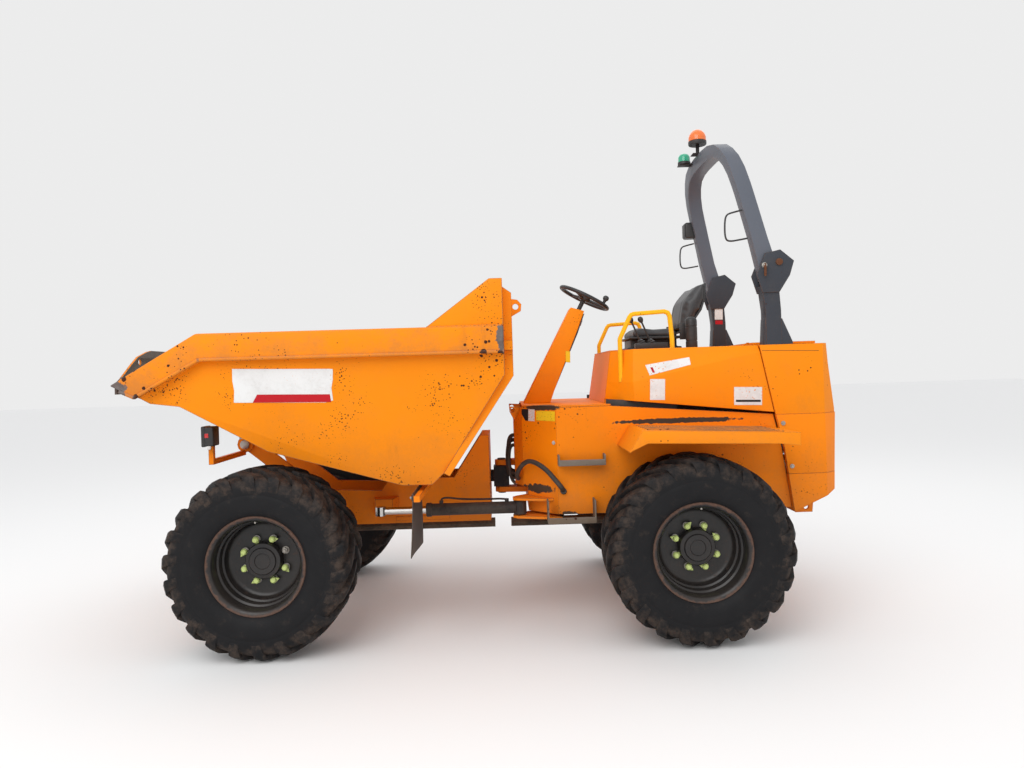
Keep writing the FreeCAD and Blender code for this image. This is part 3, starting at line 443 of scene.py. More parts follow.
def build_materials(colours):
    """All materials but the stage's."""
    orange = tuple(colours.orange)
    chassis = tuple(colours.chassis_orange_in_shade)
    hoop = tuple(colours.hoop)
    painted("skip orange", orange, chips=0.26, scale=24.0, wear=0.72, width=0.012, dirt=0.16, low=0.9,
            high=1.5, streaks=0.22, specks=0.3, scuffs=[LIP_SCUFF], metal=(0.2, 0.17, 0.15))
    painted("band orange", orange, chips=0.4, scale=17.0, wear=0.82, width=0.02, dirt=0.34, low=1.5,
            high=2.1, streaks=0.4, specks=0.3, scuffs=[LIP_SCUFF, BAND_END_SCUFF], metal=(0.24, 0.22, 0.21))
    painted("body orange", orange, chips=0.12, scale=20.0, wear=0.55, width=0.006, dirt=0.16, low=0.9,
            high=1.5, streaks=0.14, specks=0.14)
    # Frame paint: the body orange darkened a little as painted shade, with thin bands of painted shade under
    # overhanging edges.
    painted("chassis orange with painted shade", chassis, chips=0.2, scale=22.0, wear=0.7, dirt=0.2, low=0.5, high=1.2,
            streaks=0.22, specks=0.2, under_edge_shade=UNDER_EDGE_SHADE)
    painted("muddy orange", orange, gloss=0.7, chips=0.3, wear=0.6, dirt=0.85, low=1.2, high=1.5,
            mud=(0.3, 0.17, 0.08))
    painted("skip floor", (0.16, 0.13, 0.11), gloss=0.55, chips=0.3, wear=0.6, dirt=0.7, low=1.0, high=2.2,
            streaks=0.6, metal=(0.3, 0.27, 0.24))
    painted("hoop grey", hoop, gloss=0.36, chips=0.1, scale=20.0, wear=0.6, width=0.007, dirt=0.14,
            streaks=0.1, metal=(0.24, 0.2, 0.18))
    # The sockets' grey is the hoop grey darkened to 0.42 of it: painted shade for the lower posts, which
    # stand in shadow.
    painted("post grey with painted shade", [0.42 * c for c in hoop], gloss=0.42, chips=0.12, scale=20.0, wear=0.6,
            width=0.007, dirt=0.16, streaks=0.2, metal=(0.2, 0.12, 0.08))
    painted("black steel", (0.018, 0.018, 0.02), gloss=0.4, wear=0.6, width=0.006, low=0.3, high=1.4)
    painted("axle black", (0.022, 0.021, 0.022), gloss=0.5, chips=0.25, wear=0.6, dirt=0.8, low=0.3, high=1.0)
    painted("muddy steel", (0.2, 0.17, 0.14), gloss=0.6, chips=0.4, wear=0.8, dirt=0.9, low=0.6, high=1.3,
            metal=(0.34, 0.31, 0.28))
    painted("rail yellow", (0.92, 0.47, 0.012), gloss=0.3, scale=40.0, width=0.004, dirt=0.1)
    painted("rusty steel", (0.13, 0.05, 0.024), gloss=0.7, chips=0.5, scale=60.0, wear=0.7, dirt=0.5,
            metal=(0.2, 0.14, 0.1))
    printed = {"gloss": 0.45, "wear": 0.3, "width": 0.003, "dirt": 0.2}
    painted("label white", (0.78, 0.78, 0.77), chips=0.34, scale=60.0, low=1.0, high=1.8,
            rust=(0.7, 0.2, 0.01), metal=(0.5, 0.45, 0.4), **{**printed, "dirt": 0.3})
    painted("label red", (0.5, 0.012, 0.02), chips=0.3, scale=60.0, **printed)
    painted("label yellow", (0.88, 0.58, 0.02), chips=0.24, scale=80.0, rust=(0.03, 0.03, 0.03), **printed)
    # This black serves printed labels, and the painted shade in the gap between lid and shell.
    painted("black print and gap shade", (0.02, 0.02, 0.022), scale=80.0, **printed)
    painted("lime plastic", (0.66, 0.78, 0.27), chips=0.12, scale=90.0, low=0.2, high=0.9,
            rust=(0.1, 0.09, 0.05), metal=(0.3, 0.35, 0.1), **{**printed, "width": 0.002})
    plain("black plastic", (0.014, 0.014, 0.015), (0.03, 0.03, 0.031), 0.45, 60.0, 0.25)
    plain("soft rubber", (0.012, 0.012, 0.013), (0.028, 0.027, 0.026), 0.6, 30.0, 0.3, dirt=0.45)
    plain("seat vinyl", (0.026, 0.026, 0.028), (0.05, 0.05, 0.052), 0.42, 14.0, 0.5, dirt=0.3)
    plain("polished rod", (0.62, 0.6, 0.57), (0.72, 0.71, 0.69), 0.18, 40.0, 0.05, metallic=1.0, dirt=0.15)
    plain("zinc bolts", (0.34, 0.32, 0.29), (0.5, 0.48, 0.44), 0.4, 90.0, 0.2, metallic=0.8, dirt=0.3)
    plain("engine iron", (0.04, 0.04, 0.042), (0.08, 0.075, 0.07), 0.55, 12.0, 0.4, dirt=0.5)
    plain("amber lens", (0.75, 0.14, 0.02), (0.85, 0.2, 0.03), 0.2, 12.0, 0.05, dirt=0.12, coat=0.4)
    plain("green lens", (0.02, 0.3, 0.17), (0.04, 0.4, 0.24), 0.2, 12.0, 0.05, dirt=0.1, coat=0.4)
    plain("red lens", (0.45, 0.01, 0.012), (0.6, 0.02, 0.02), 0.22, 12.0, 0.05, dirt=0.2, coat=0.4)
    plain("clear lens", (0.62, 0.62, 0.6), (0.78, 0.78, 0.76), 0.12, 20.0, 0.05, dirt=0.15, coat=0.5)
    rubber_material()
    rim_material()


def rubber_material():
    """Tyre rubber, with mud where the tread value is high."""
    tree, shader, vector = start_material("tyre rubber")
    tread = add(tree, "ShaderNodeAttribute", attribute_name="tread").outputs["Fac"]
    shade = noise(tree, vector, 9.0, 6.0, 0.65)
    tone = mix_colour(tree, shade, (0.007, 0.007, 0.008), (0.015, 0.0145, 0.0155))
    cloud = noise(tree, vector, 13.0, 8.0, 0.72)
    level = plus(tree, cloud, times(tree, tread, 0.22))
    mud = ramp(tree, level, 0.54, 0.95)
    fine = noise(tree, vector, 90.0, 4.0, 0.7)
    earth = mix_colour(tree, fine, (0.035, 0.026, 0.021), (0.12, 0.085, 0.066))
    rough = plus(tree, 0.55, times(tree, mud, 0.35), clamp=True)
    height = plus(tree, times(tree, mud, 0.8), times(tree, fine, 0.5))
    surface(tree, shader, mix_colour(tree, mud, tone, earth), rough, height, 0.35, 0.004, 0.15)


def rim_material():
    """Black paint, rusted where the flange value is high."""
    tree, shader, vector = start_material("rim black")
    flange = add(tree, "ShaderNodeAttribute", attribute_name="flange").outputs["Fac"]
    tone = mix_colour(tree, noise(tree, vector, 12.0, 5.0, 0.6), (0.007, 0.007, 0.008), (0.018, 0.017, 0.017))
    cloud = noise(tree, vector, 26.0, 7.0, 0.7)
    rust = ramp(tree, plus(tree, cloud, times(tree, flange, 0.42)), 0.6, 0.86)
    scale = mix_colour(tree, noise(tree, vector, 70.0, 4.0, 0.6), (0.05, 0.02, 0.012), (0.15, 0.085, 0.06))
    dust = use(tree, "dirt", vector, Low=0.1, High=0.9, Amount=0.2)
    tone = mix_colour(tree, dust, mix_colour(tree, rust, tone, scale), (0.09, 0.065, 0.05))
    rough = plus(tree, 0.32, times(tree, rust, 0.5), clamp=True)
    surface(tree, shader, tone, rough, plus(tree, rust, cloud), 0.3, 0.002, 0.4)


# Settings

def length(name, description, default):
    return bpy.props.FloatProperty(name=name, description=description, default=default, min=0.0,
                                   unit="LENGTH", subtype="DISTANCE")


def count(name, description, default, least, most):
    return bpy.props.IntProperty(name=name, description=description, default=default, min=least, max=most)


def colour(name, description, default):
    return bpy.props.FloatVectorProperty(name=name, description=description, default=default, size=3,
                                         min=0.0, max=1.0, subtype="COLOR")


class DumperPaint(bpy.types.PropertyGroup):
    """Paint colours"""
    orange: colour("Body orange", "Paint of the skip and covers", (0.9, 0.255, 0.002))
    # The frames' orange is the body orange a little darker and redder: painted shade for the frames, which
    # lie in shadow.
    chassis_orange_in_shade: colour("Chassis orange in shade", "Paint of the two frames", (0.9, 0.232, 0.002))
    hoop: colour("Hoop grey", "Paint of the roll-over hoop", (0.12, 0.13, 0.155))


class DumperWheels(bpy.types.PropertyGroup):
    """Tyres, rims and nuts"""
    lugs: count("Lugs", "Tread lugs on each side of a tyre", 22, 8, 40)
    lug_rounding: length("Lug rounding", "Radius of the lugs' edges", 0.006)
    studs: count("Studs", "Wheel studs", 8, 4, 12)
    stud_circle: length("Stud circle", "Radius of the circle of studs", 0.1375)
    nut: length("Nut", "Radius of a wheel nut", 0.019)


class DumperSeat(bpy.types.PropertyGroup):
    """Seat padding"""
    voxel: length("Voxel", "Mesh size of the padding before it is puffed", 0.009)
    swell: length("Swell", "How far the padding may swell", 0.016)


class DumperEdges(bpy.types.PropertyGroup):
    """Rounding of sheet and tube edges"""
    tube: length("Tube rounding", "Corner radius of the hoop's square tube", 0.012)
    sheet: length("Sheet rounding", "Bend radius of the pressed panels", 0.005)
    cast: length("Casting rounding", "Corner radius of the tail casting", 0.014)


# Wheels

# columns: Y from the wheel's middle, radius on the lug, lead and half width in degrees
LUG_LINE = [(0.2495, 0.462, 0.0, 3.3), (0.2485, 0.505, 0.8, 3.7), (0.236, 0.548, 2.2, 3.9),
            (0.205, 0.568, 4.6, 3.6), (0.15, 0.575, 8.6, 3.2), (0.08, 0.577, 14.2, 3.0),
            (0.014, 0.577, 20.5, 2.6)]
SHOULDER_Y = 0.23
LUG_DEPTH, SHOULDER_DEPTH, SHOULDER_SINK = 0.05, 0.012, 0.03
LUG_MUD = 0.72
# Radii where the mud on the tyre and the rust on the rim begin, and how far on they are full
MUD_FROM, MUD_SPAN = 0.44, 0.08
RUST_FROM, RUST_SPAN = 0.28, 0.02
FIRST_STUD = math.radians(22.5)
# The one nut without an indicator in the photograph
BARE_NUT = ("front_left", 6)
# columns: Y from the wheel's middle, radius
CARCASS = [(0.203, 0.29), (0.206, 0.302), (0.222, 0.314), (0.238, 0.338), (0.247, 0.372), (0.2495, 0.41),
           (0.2495, 0.432), (0.2475, 0.436), (0.2475, 0.44), (0.2495, 0.445), (0.247, 0.47), (0.242, 0.5),
           (0.226, 0.525), (0.195, 0.541), (0.12, 0.549), (0.0, 0.552)]
RIM_SECTION = [(0.004, 0.108), (0.004, 0.205), (0.01, 0.226), (0.026, 0.238), (0.06, 0.2415), (0.068, 0.252),
               (0.118, 0.254), (0.126, 0.265), (0.188, 0.268), (0.205, 0.276), (0.2135, 0.29),
               (0.2155, 0.302), (0.211, 0.306), (0.2065, 0.301), (0.2045, 0.2875), (-0.2045, 0.2875),
               (-0.2065, 0.301), (-0.211, 0.306), (-0.2155, 0.302), (-0.2135, 0.288), (-0.2, 0.274),
               (-0.06, 0.262), (-0.02, 0.25), (-0.012, 0.225), (-0.012, 0.14), (-0.09, 0.138),
               (-0.09, 0.054), (-0.03, 0.054), (-0.03, 0.09)]


def share(vert, start, span):
    """0 up to a radius from the wheel's axis and 1 a span further out."""
    return min(max((math.hypot(vert.co.x, vert.co.z) - start) / span, 0), 1)


def lug(rounding):
    """One lug, from a strip laid along the lug line and given depth."""
    bm = bmesh.new()
    bmesh.ops.create_grid(bm, x_segments=len(LUG_LINE) - 1, y_segments=1, size=0.5)
    rows = sorted({round(v.co.x, 5) for v in bm.verts})
    for vert in bm.verts:
        y, r, lead, half = LUG_LINE[rows.index(round(vert.co.x, 5))]
        turn = math.radians(lead + (half if vert.co.y > 0 else -half))
        vert.co = (r * math.sin(turn), y, r * math.cos(turn))
    for vert in pushed(bm, (0, 0, 0)):
        on_shoulder = abs(vert.co.y) >= SHOULDER_Y
        depth = SHOULDER_DEPTH if on_shoulder else LUG_DEPTH
        shrink = 1 - depth / math.hypot(vert.co.x, vert.co.z)
        vert.co.x *= shrink
        vert.co.z *= shrink
        if on_shoulder:
            vert.co.y -= SHOULDER_SINK
    bmesh.ops.recalc_face_normals(bm, faces=bm.faces)
    return rounded(bm, rounding, 2, 0.7)


def spin(bm, turn):
    """Turns a mesh round the wheel's axis."""
    bmesh.ops.rotate(bm, cent=(0, 0, 0), matrix=Matrix.Rotation(turn, 3, "Y"), verts=bm.verts)


def tyre(wheel):
    """Carcass with rows of lugs on both sides, the two rows half a step apart."""
    section = CARCASS + [(-y, r) for y, r in reversed(CARCASS[:-1])]
    section += [(-0.198, 0.3), (-0.21, 0.42), (-0.19, 0.505), (0.19, 0.505), (0.21, 0.42), (0.198, 0.3)]
    carcass = turned(section, (0, 0, 0), steps=132)
    layer = carcass.verts.layers.float.new("tread")
    for vert in carcass.verts:
        vert[layer] = share(vert, MUD_FROM, MUD_SPAN)
    pattern = tag(lug(wheel.lug_rounding), "tread", LUG_MUD)
    rows = ((pattern, 0), (opposite(pattern), 0.5))
    step = 2 * math.pi / wheel.lugs
    meshes = [carcass]
    for k in range(wheel.lugs):
        for source, lag in rows:
            one = source.copy()
            spin(one, (k + lag) * step)
            meshes.append(one)
    return meshes


def wheel_disc():
    """Rim with its stepped barrel, and the hub."""
    rim = turned(RIM_SECTION, (0, 0, 0), steps=96)
    layer = rim.verts.layers.float.new("flange")
    for vert in rim.verts:
        vert[layer] = share(vert, RUST_FROM, RUST_SPAN) if vert.co.y > 0.1 else 0.1
    hub = turned([(0.0, 0), (0.0, 0.115), (0.058, 0.113), (0.066, 0.108), (0.07, 0.086), (0.078, 0.08),
                  (0.0775, 0.05), (0.073, 0.046), (0.073, 0)], (0, 0, 0), steps=48)
    tag(hub, "flange", 0.0)
    return [rim, hub]


def nut(turn, radius, size):
    """A wheel nut with its washer and stud, on the stud circle."""
    x, z = radius * math.sin(turn), radius * math.cos(turn)
    washer = rod((x, 0.002, z), (x, 0.009, z), size * 1.25, 20, 0.001)
    hexagon = rod((x, 0.008, z), (x, 0.03, z), size, 6, 0.0015)
    stud = rod((x, 0.02, z), (x, 0.044, z), size * 0.55, 14, 0.001)
    return [washer, hexagon, stud]


def indicator(turn, radius, way):
    """A loose-nut pointer: a cap with a ring and a pointed tip."""
    angles = [math.radians(40 + 20 * k) for k in range(15)]
    outline = [(math.cos(a) * 0.021, math.sin(a) * 0.021) for a in angles] + [(0.038, 0.0)]
    ring = panel(outline, 0.024, 0.034, 0.002)
    cap = turned([(0.03, 0), (0.03, 0.0195), (0.044, 0.018), (0.05, 0.012), (0.05, 0)], (0, 0, 0), steps=18)
    place = (radius * math.sin(turn), 0, radius * math.cos(turn))
    for part in (ring, cap):
        spin(part, way)
        bmesh.ops.translate(part, vec=place, verts=part.verts)
    return [ring, cap]


def wheel_piece(name, wheel, meshes, finish, replaced=None, smooth=32):
    """One object on a wheel, from meshes made for the left side round the origin."""
    moved = [shift(bm, WHEELS[wheel], SIDES[wheel.split("_")[1]]) for bm in meshes]
    nodes = [f"{replaced}_{wheel}"] if replaced else []
    piece(f"{name}_{wheel}", moved, f"wheel_{wheel}", [finish], nodes, smooth)


class DUMPER_OT_tyres(bpy.types.Operator):
    """Make the four lugged tyres"""
    bl_idname = "dumper.tyres"
    bl_label = "Tyres"

    def execute(self, context):
        wheel = context.scene.dumper_wheels
        for name in WHEELS:
            wheel_piece("lugged_tyre", name, tyre(wheel), "tyre rubber", "tyre", 38)
        return {"FINISHED"}


class DUMPER_OT_rims(bpy.types.Operator):
    """Make the rims, hubs, nuts and nut indicators"""
    bl_idname = "dumper.rims"
    bl_label = "Rims"

    def execute(self, context):
        wheel = context.scene.dumper_wheels
        chance = random.Random(7)
        for name in WHEELS:
            wheel_piece("rim_and_hub", name, wheel_disc(), "rim black", "rim", 40)
            nuts, pointers = [], []
            for k in range(wheel.studs):
                turn = FIRST_STUD + 2 * math.pi * k / wheel.studs
                nuts += nut(turn, wheel.stud_circle, wheel.nut)
                way = chance.uniform(0, 2 * math.pi)
                if (name, k) != BARE_NUT:
                    pointers += indicator(turn, wheel.stud_circle, way)
            valve = rod((0, 0.15, 0.262), (0, 0.19, 0.262), 0.006, 10, 0.001)
            wheel_piece("wheel_nuts", name, [*nuts, valve], "zinc bolts")
            wheel_piece("nut_indicators", name, pointers, "lime plastic")
        return {"FINISHED"}


# Skip

SKIP_LOW, SKIP_HIGH = 1.0, 1.83
SKIP_LOW_HALF, SKIP_HIGH_HALF = 0.96, 1.08
SKIP_MIDDLE = Vector((1.0, 0, 1.75))
BAND_EDGE_Y = 1.132
# columns: X, Z along the lower edge of the skip's rim band
BAND_EDGE = [(-0.097, 1.835), (1.765, 1.841), (2.163, 1.622), (2.25, 1.662)]


def skip_side(z):
    """Y of the skip's outer side at a height."""
    lean = (SKIP_HIGH_HALF - SKIP_LOW_HALF) / (SKIP_HIGH - SKIP_LOW)
    return SKIP_LOW_HALF + lean * (min(z, SKIP_HIGH) - SKIP_LOW)


def leaning_label(outline, lift=0.0008, thickness=0.0012):
    """A thin label on the skip's leaning side, from an outline in X and Z."""
    return plate([(x, skip_side(z) + lift, z) for x, z in outline], (0, thickness, 0))


class DUMPER_OT_skip(bpy.types.Operator):
    """Dress the skip with its rolled rim band, welds, ribs and blank label"""
    bl_idname = "dumper.skip"
    bl_label = "Skip"

    def execute(self, context):
        edges = context.scene.dumper_edges
        pressed("rolled_rim_band", "skip_band", "band orange", 0.012, 3, body="skip")
        pressed("gable_plates", "skip_gables", "skip orange", edges.sheet, body="skip")
        lips, beads = [], []
        for ends in zip(BAND_EDGE, BAND_EDGE[1:]):
            lips.append(rod(*[(x, BAND_EDGE_Y, z - 0.004) for x, z in ends], 0.012, 14))
            beads.append(rod(*[(x, skip_side(z) + 0.004, z - 0.006) for x, z in ends], 0.007, 10))
        beads.append(rod((-0.09, 1.127, 1.99), (0.37, 1.127, 1.99), 0.007, 10))
        piece("rim_lip", both(*lips), "skip", ["band orange"])
        piece("weld_beads", both(*beads), "skip", ["skip orange"])
        white = leaning_label([(0.962, 1.756), (0.985, 1.758), (1.34, 1.768), (1.582, 1.776), (1.586, 1.7),
                               (1.58, 1.64), (1.588, 1.566), (1.25, 1.556), (1.02, 1.55), (0.972, 1.562),
                               (0.978, 1.64), (0.966, 1.69)])
        stripe = leaning_label([(0.985, 1.552), (1.47, 1.563), (1.44, 1.612), (0.99, 1.6)], 0.0022)
        piece("skip_label", [(white, 0), (stripe, 1)], "skip", ["label white", "label red"])
        plates = piece("skip_plates", [softened("skip", 0.003)], "skip",
                       ["skip orange", "skip floor"], ["skip"])
        for face in plates.data.polygons:
            if face.normal.dot(SKIP_MIDDLE - face.center) > 0:
                face.material_index = 1
        dress("body orange", "skip_ribs")
        return {"FINISHED"}


# Front frame

def screws(places, way, size=0.011):
    """Hexagon heads on their washers, facing a way."""
    found = []
    way = Vector(way)
    for place in map(Vector, places):
        found.append(rod(place, place + way * 0.003, size * 1.35, 18, 0.0008))
        found.append(rod(place + way * 0.002, place + way * 0.011, size, 6, 0.001))
    return found


def surface_y(node, x, z):
    """Y of a frame node's left outside at a place."""
    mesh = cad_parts[node].data
    tree = BVHTree.FromPolygons([v.co for v in mesh.vertices], [p.vertices for p in mesh.polygons])
    hit = tree.ray_cast(Vector((x, 3.0, z)), Vector((0, -1, 0)))[0]
    if hit is None:
        raise RuntimeError(f"{node} has no surface at {x}, {z}")
    return hit.y


def laid_on(node, outline, lift, thickness=0.0009):
    """A thin label on the left outside of a frame node, from an outline in X and Z."""
    bm = panel(outline, 0.0, thickness)
    for vert in bm.verts:
        vert.co.y += surface_y(node, vert.co.x, vert.co.z) + lift
    return bm


class DUMPER_OT_front_frame(bpy.types.Operator):
    """Dress the front frame: lamps, mud flaps, pin caps and welds"""
    bl_idname = "dumper.front_frame"
    bl_label = "Front frame"

    def execute(self, context):
        dress("chassis orange with painted shade", "front_chassis", "steer_bracket")
        dress("axle black", "front_axle", "prop_front")
        dress("zinc bolts", "skip_pin")
        low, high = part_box("headlamps")
        x0, x1, z0, z1 = low.x, high.x, low.z, high.z
        y0, y1 = high.y - 0.11, high.y
        case = block((x0, y0, z0), (x1 - 0.012, y1, z1), 0.01, 3)
        bezel = block((x1 - 0.03, y0 - 0.003, z0 - 0.003), (x1 - 0.006, y1 + 0.003, z1 + 0.003), 0.006, 2)
        lamps = [(case, 0), (bezel, 0)]
        for z in (z1 - 0.036, z0 + 0.036):
            lamps.append((turned([(0, 0), (0, 0.027), (0.008, 0.027), (0.012, 0.0162), (0.013, 0)],
                                 (x1 - 0.007, (y0 + y1) / 2, z), (1, 0, 0), 28), 1))
        reflector = block((x0 + 0.03, y1 - 0.002, z0 + 0.055), (x1 - 0.03, y1 + 0.004, z0 + 0.083), 0.002)
        marker = block((x0 + 0.02, y1 - 0.02, z0 - 0.02), (x1 - 0.04, y1 - 0.004, z0 + 0.004), 0.003)
        lamps += [(reflector, 2), (marker, 3)]
        piece("head_and_side_lamps", both(*lamps), "front_frame",
              ["black plastic", "clear lens", "red lens", "label white"], ["headlamps"])
        low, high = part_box("mud_flaps")
        flap = block((low.x, 0.7, low.z), (high.x, 1.15, high.z), 0.002)
        bmesh.ops.subdivide_edges(flap, edges=flap.edges, cuts=5, use_grid_fill=True)
        for vert in flap.verts:
            hang = (high.z - vert.co.z) / (high.z - low.z)
            vert.co.x += 0.012 * math.sin(3.2 * vert.co.y * 2 + 0.6) * hang + 0.01 * hang * hang
        clamp = block((low.x - 0.008, 0.71, high.z - 0.05), (high.x + 0.008, 1.14, high.z - 0.012), 0.002)
        places = [(high.x + 0.008, y, high.z - 0.03) for y in (0.74, 0.88, 1.02, 1.12)]
        heads = screws(places, (1, 0, 0), 0.008)
        flaps = [(flap, 0), (clamp, 1)] + [(bm, 2) for bm in heads]
        piece("hanging_mud_flaps", both(*flaps), "front_frame",
              ["soft rubber", "black steel", "zinc bolts"], ["mud_flaps"])
        cap = turned([(0, 0), (0, 0.034), (0.008, 0.032), (0.012, 0.02), (0.012, 0)],
                     (1.785, 0.292, 1.245), (0, 1, 0), 30)
        keeper = block((1.745, 0.281, 1.285), (1.825, 0.287, 1.31), 0.003)
        heads = screws([(1.757, 0.287, 1.297), (1.813, 0.287, 1.297)], (0, 1, 0), 0.008)
        piece("front_frame_fittings", both(cap, keeper, *heads), "front_frame", ["zinc bolts"])
        seam = both(rod((0.365, 0.262, 0.97), (0.365, 0.262, 1.0), 0.004, 8),
                    block((0.33, 0.259, 0.66), (0.72, 0.266, 0.69), 0.002))
        piece("front_frame_seams", seam, "front_frame", ["chassis orange with painted shade"])
        return {"FINISHED"}


# Rams and hoses

STEER_PIN = (-0.173, 0.52, 0.775)


class DUMPER_OT_rams(bpy.types.Operator):
    """Dress the steering and tipping rams and the centre joint"""
    bl_idname = "dumper.rams"
    bl_label = "Rams and centre joint"

    def execute(self, context):
        dress("black steel", "steer_barrel", "tip_barrel")
        dress("polished rod", "steer_rod", "tip_rod")
        dress("axle black", "centre_pivot")
        x, y, z = STEER_PIN
        gland = turned([(0, 0.0262), (0, 0.047), (0.03, 0.048), (0.036, 0.044), (0.036, 0.0262)],
                       (x + 0.608, y, z), (1, 0, 0), 36)
        ports = [rod((x + px, y, z + 0.035), (x + px, y, z + 0.062), 0.014, 16, 0.002) for px in (0.09, 0.54)]
        pipe = [(0.54, 0, 0.06), (0.54, -0.01, 0.085), (0.4, -0.03, 0.06), (0.2, -0.03, 0.056),
                (0.12, -0.01, 0.06), (0.09, 0, 0.055)]
        pipe_run = hose([(x + px, y + py, z + pz) for px, py, pz in pipe], 0.007)
        piece("steering_ram_fittings", [gland, *ports, pipe_run], "steer_barrel",
              ["black steel"])
        return {"FINISHED"}


# columns: Y, rise of both ends
GAP_HOSES = [(0.12, 0.0), (0.155, 0.04), (0.19, -0.03), (-0.14, 0.02), (-0.185, -0.02)]


class DUMPER_OT_hoses(bpy.types.Operator):
    """Make the fixed hydraulic hoses of the rear frame"""
    bl_idname = "dumper.hoses"
    bl_label = "Hoses"

    def execute(self, context):
        side_hose = hose([(-0.17, 0.4, 0.955), (-0.15, 0.46, 0.985), (-0.2, 0.53, 1.075), (-0.26, 0.58, 1.1),
                          (-0.35, 0.66, 1.05), (-0.42, 0.702, 0.965), (-0.46, 0.7, 0.915),
                          (-0.47, 0.63, 0.885)], 0.0165)
        collar = rod((-0.463, 0.676, 0.9), (-0.4695, 0.64, 0.888), 0.021, 16, 0.002)
        loops = []
        for y, rise in GAP_HOSES:
            bulge = -0.07 - 0.2 * abs(y)
            line = [(-0.16, 1.2 + rise), (bulge - 0.02, 1.21 + rise), (bulge, 1.12), (bulge, 1.0),
                    (bulge - 0.02, 0.93 + rise), (-0.16, 0.92 + rise)]
            loops.append(hose([(x, y, z) for x, z in line], 0.0125))
        piece("hydraulic_hoses", [side_hose, collar, *loops], "rear_frame", ["soft rubber"])
        return {"FINISHED"}


# Rear frame

# columns: X of the rear and front end, Z of the top, reach outwards from the steps' inner Y
STEPS = [(-0.735, -0.442, 1.084, 0.085), (-0.658, -0.36, 0.712, 0.12)]
STEP_Y = 0.66
STEP_TEETH = 9
FENDER_RIBS, FENDER_RIB_FROM, FENDER_RIB_STEP = 6, 0.745, 0.08
# columns: frame node, outline in X and Z, lift in millimetres, finish
REAR_LABELS = [
    ("rear_chassis", [(-0.206, 1.445), (-0.252, 1.444), (-0.249, 1.362), (-0.203, 1.363)], 0.4, 2),
    ("rear_chassis", [(-0.252, 1.444), (-0.294, 1.442), (-0.291, 1.361), (-0.249, 1.362)], 0.4, 0),
    ("rear_chassis", [(-0.304, 1.434), (-0.425, 1.431), (-0.423, 1.364), (-0.302, 1.367)], 0.4, 1),
    ("side_covers", [(-1.063, 1.628), (-1.163, 1.626), (-1.158, 1.486), (-1.058, 1.489)], 0.4, 0),
    ("side_covers", [(-1.62, 1.558), (-1.807, 1.552), (-1.803, 1.432), (-1.617, 1.438)], 0.4, 0),
    ("side_covers", [(-1.63, 1.472), (-1.795, 1.467), (-1.7945, 1.453), (-1.63, 1.458)], 1.4, 2),
    ("side_covers", [(-1.038, 1.723), (-1.334, 1.767), (-1.339, 1.716), (-1.062, 1.652)], 0.4, 0),
    ("side_covers", [(-1.07, 1.705), (-1.085, 1.707), (-1.098, 1.672), (-1.084, 1.67)], 1.4, 3),
]


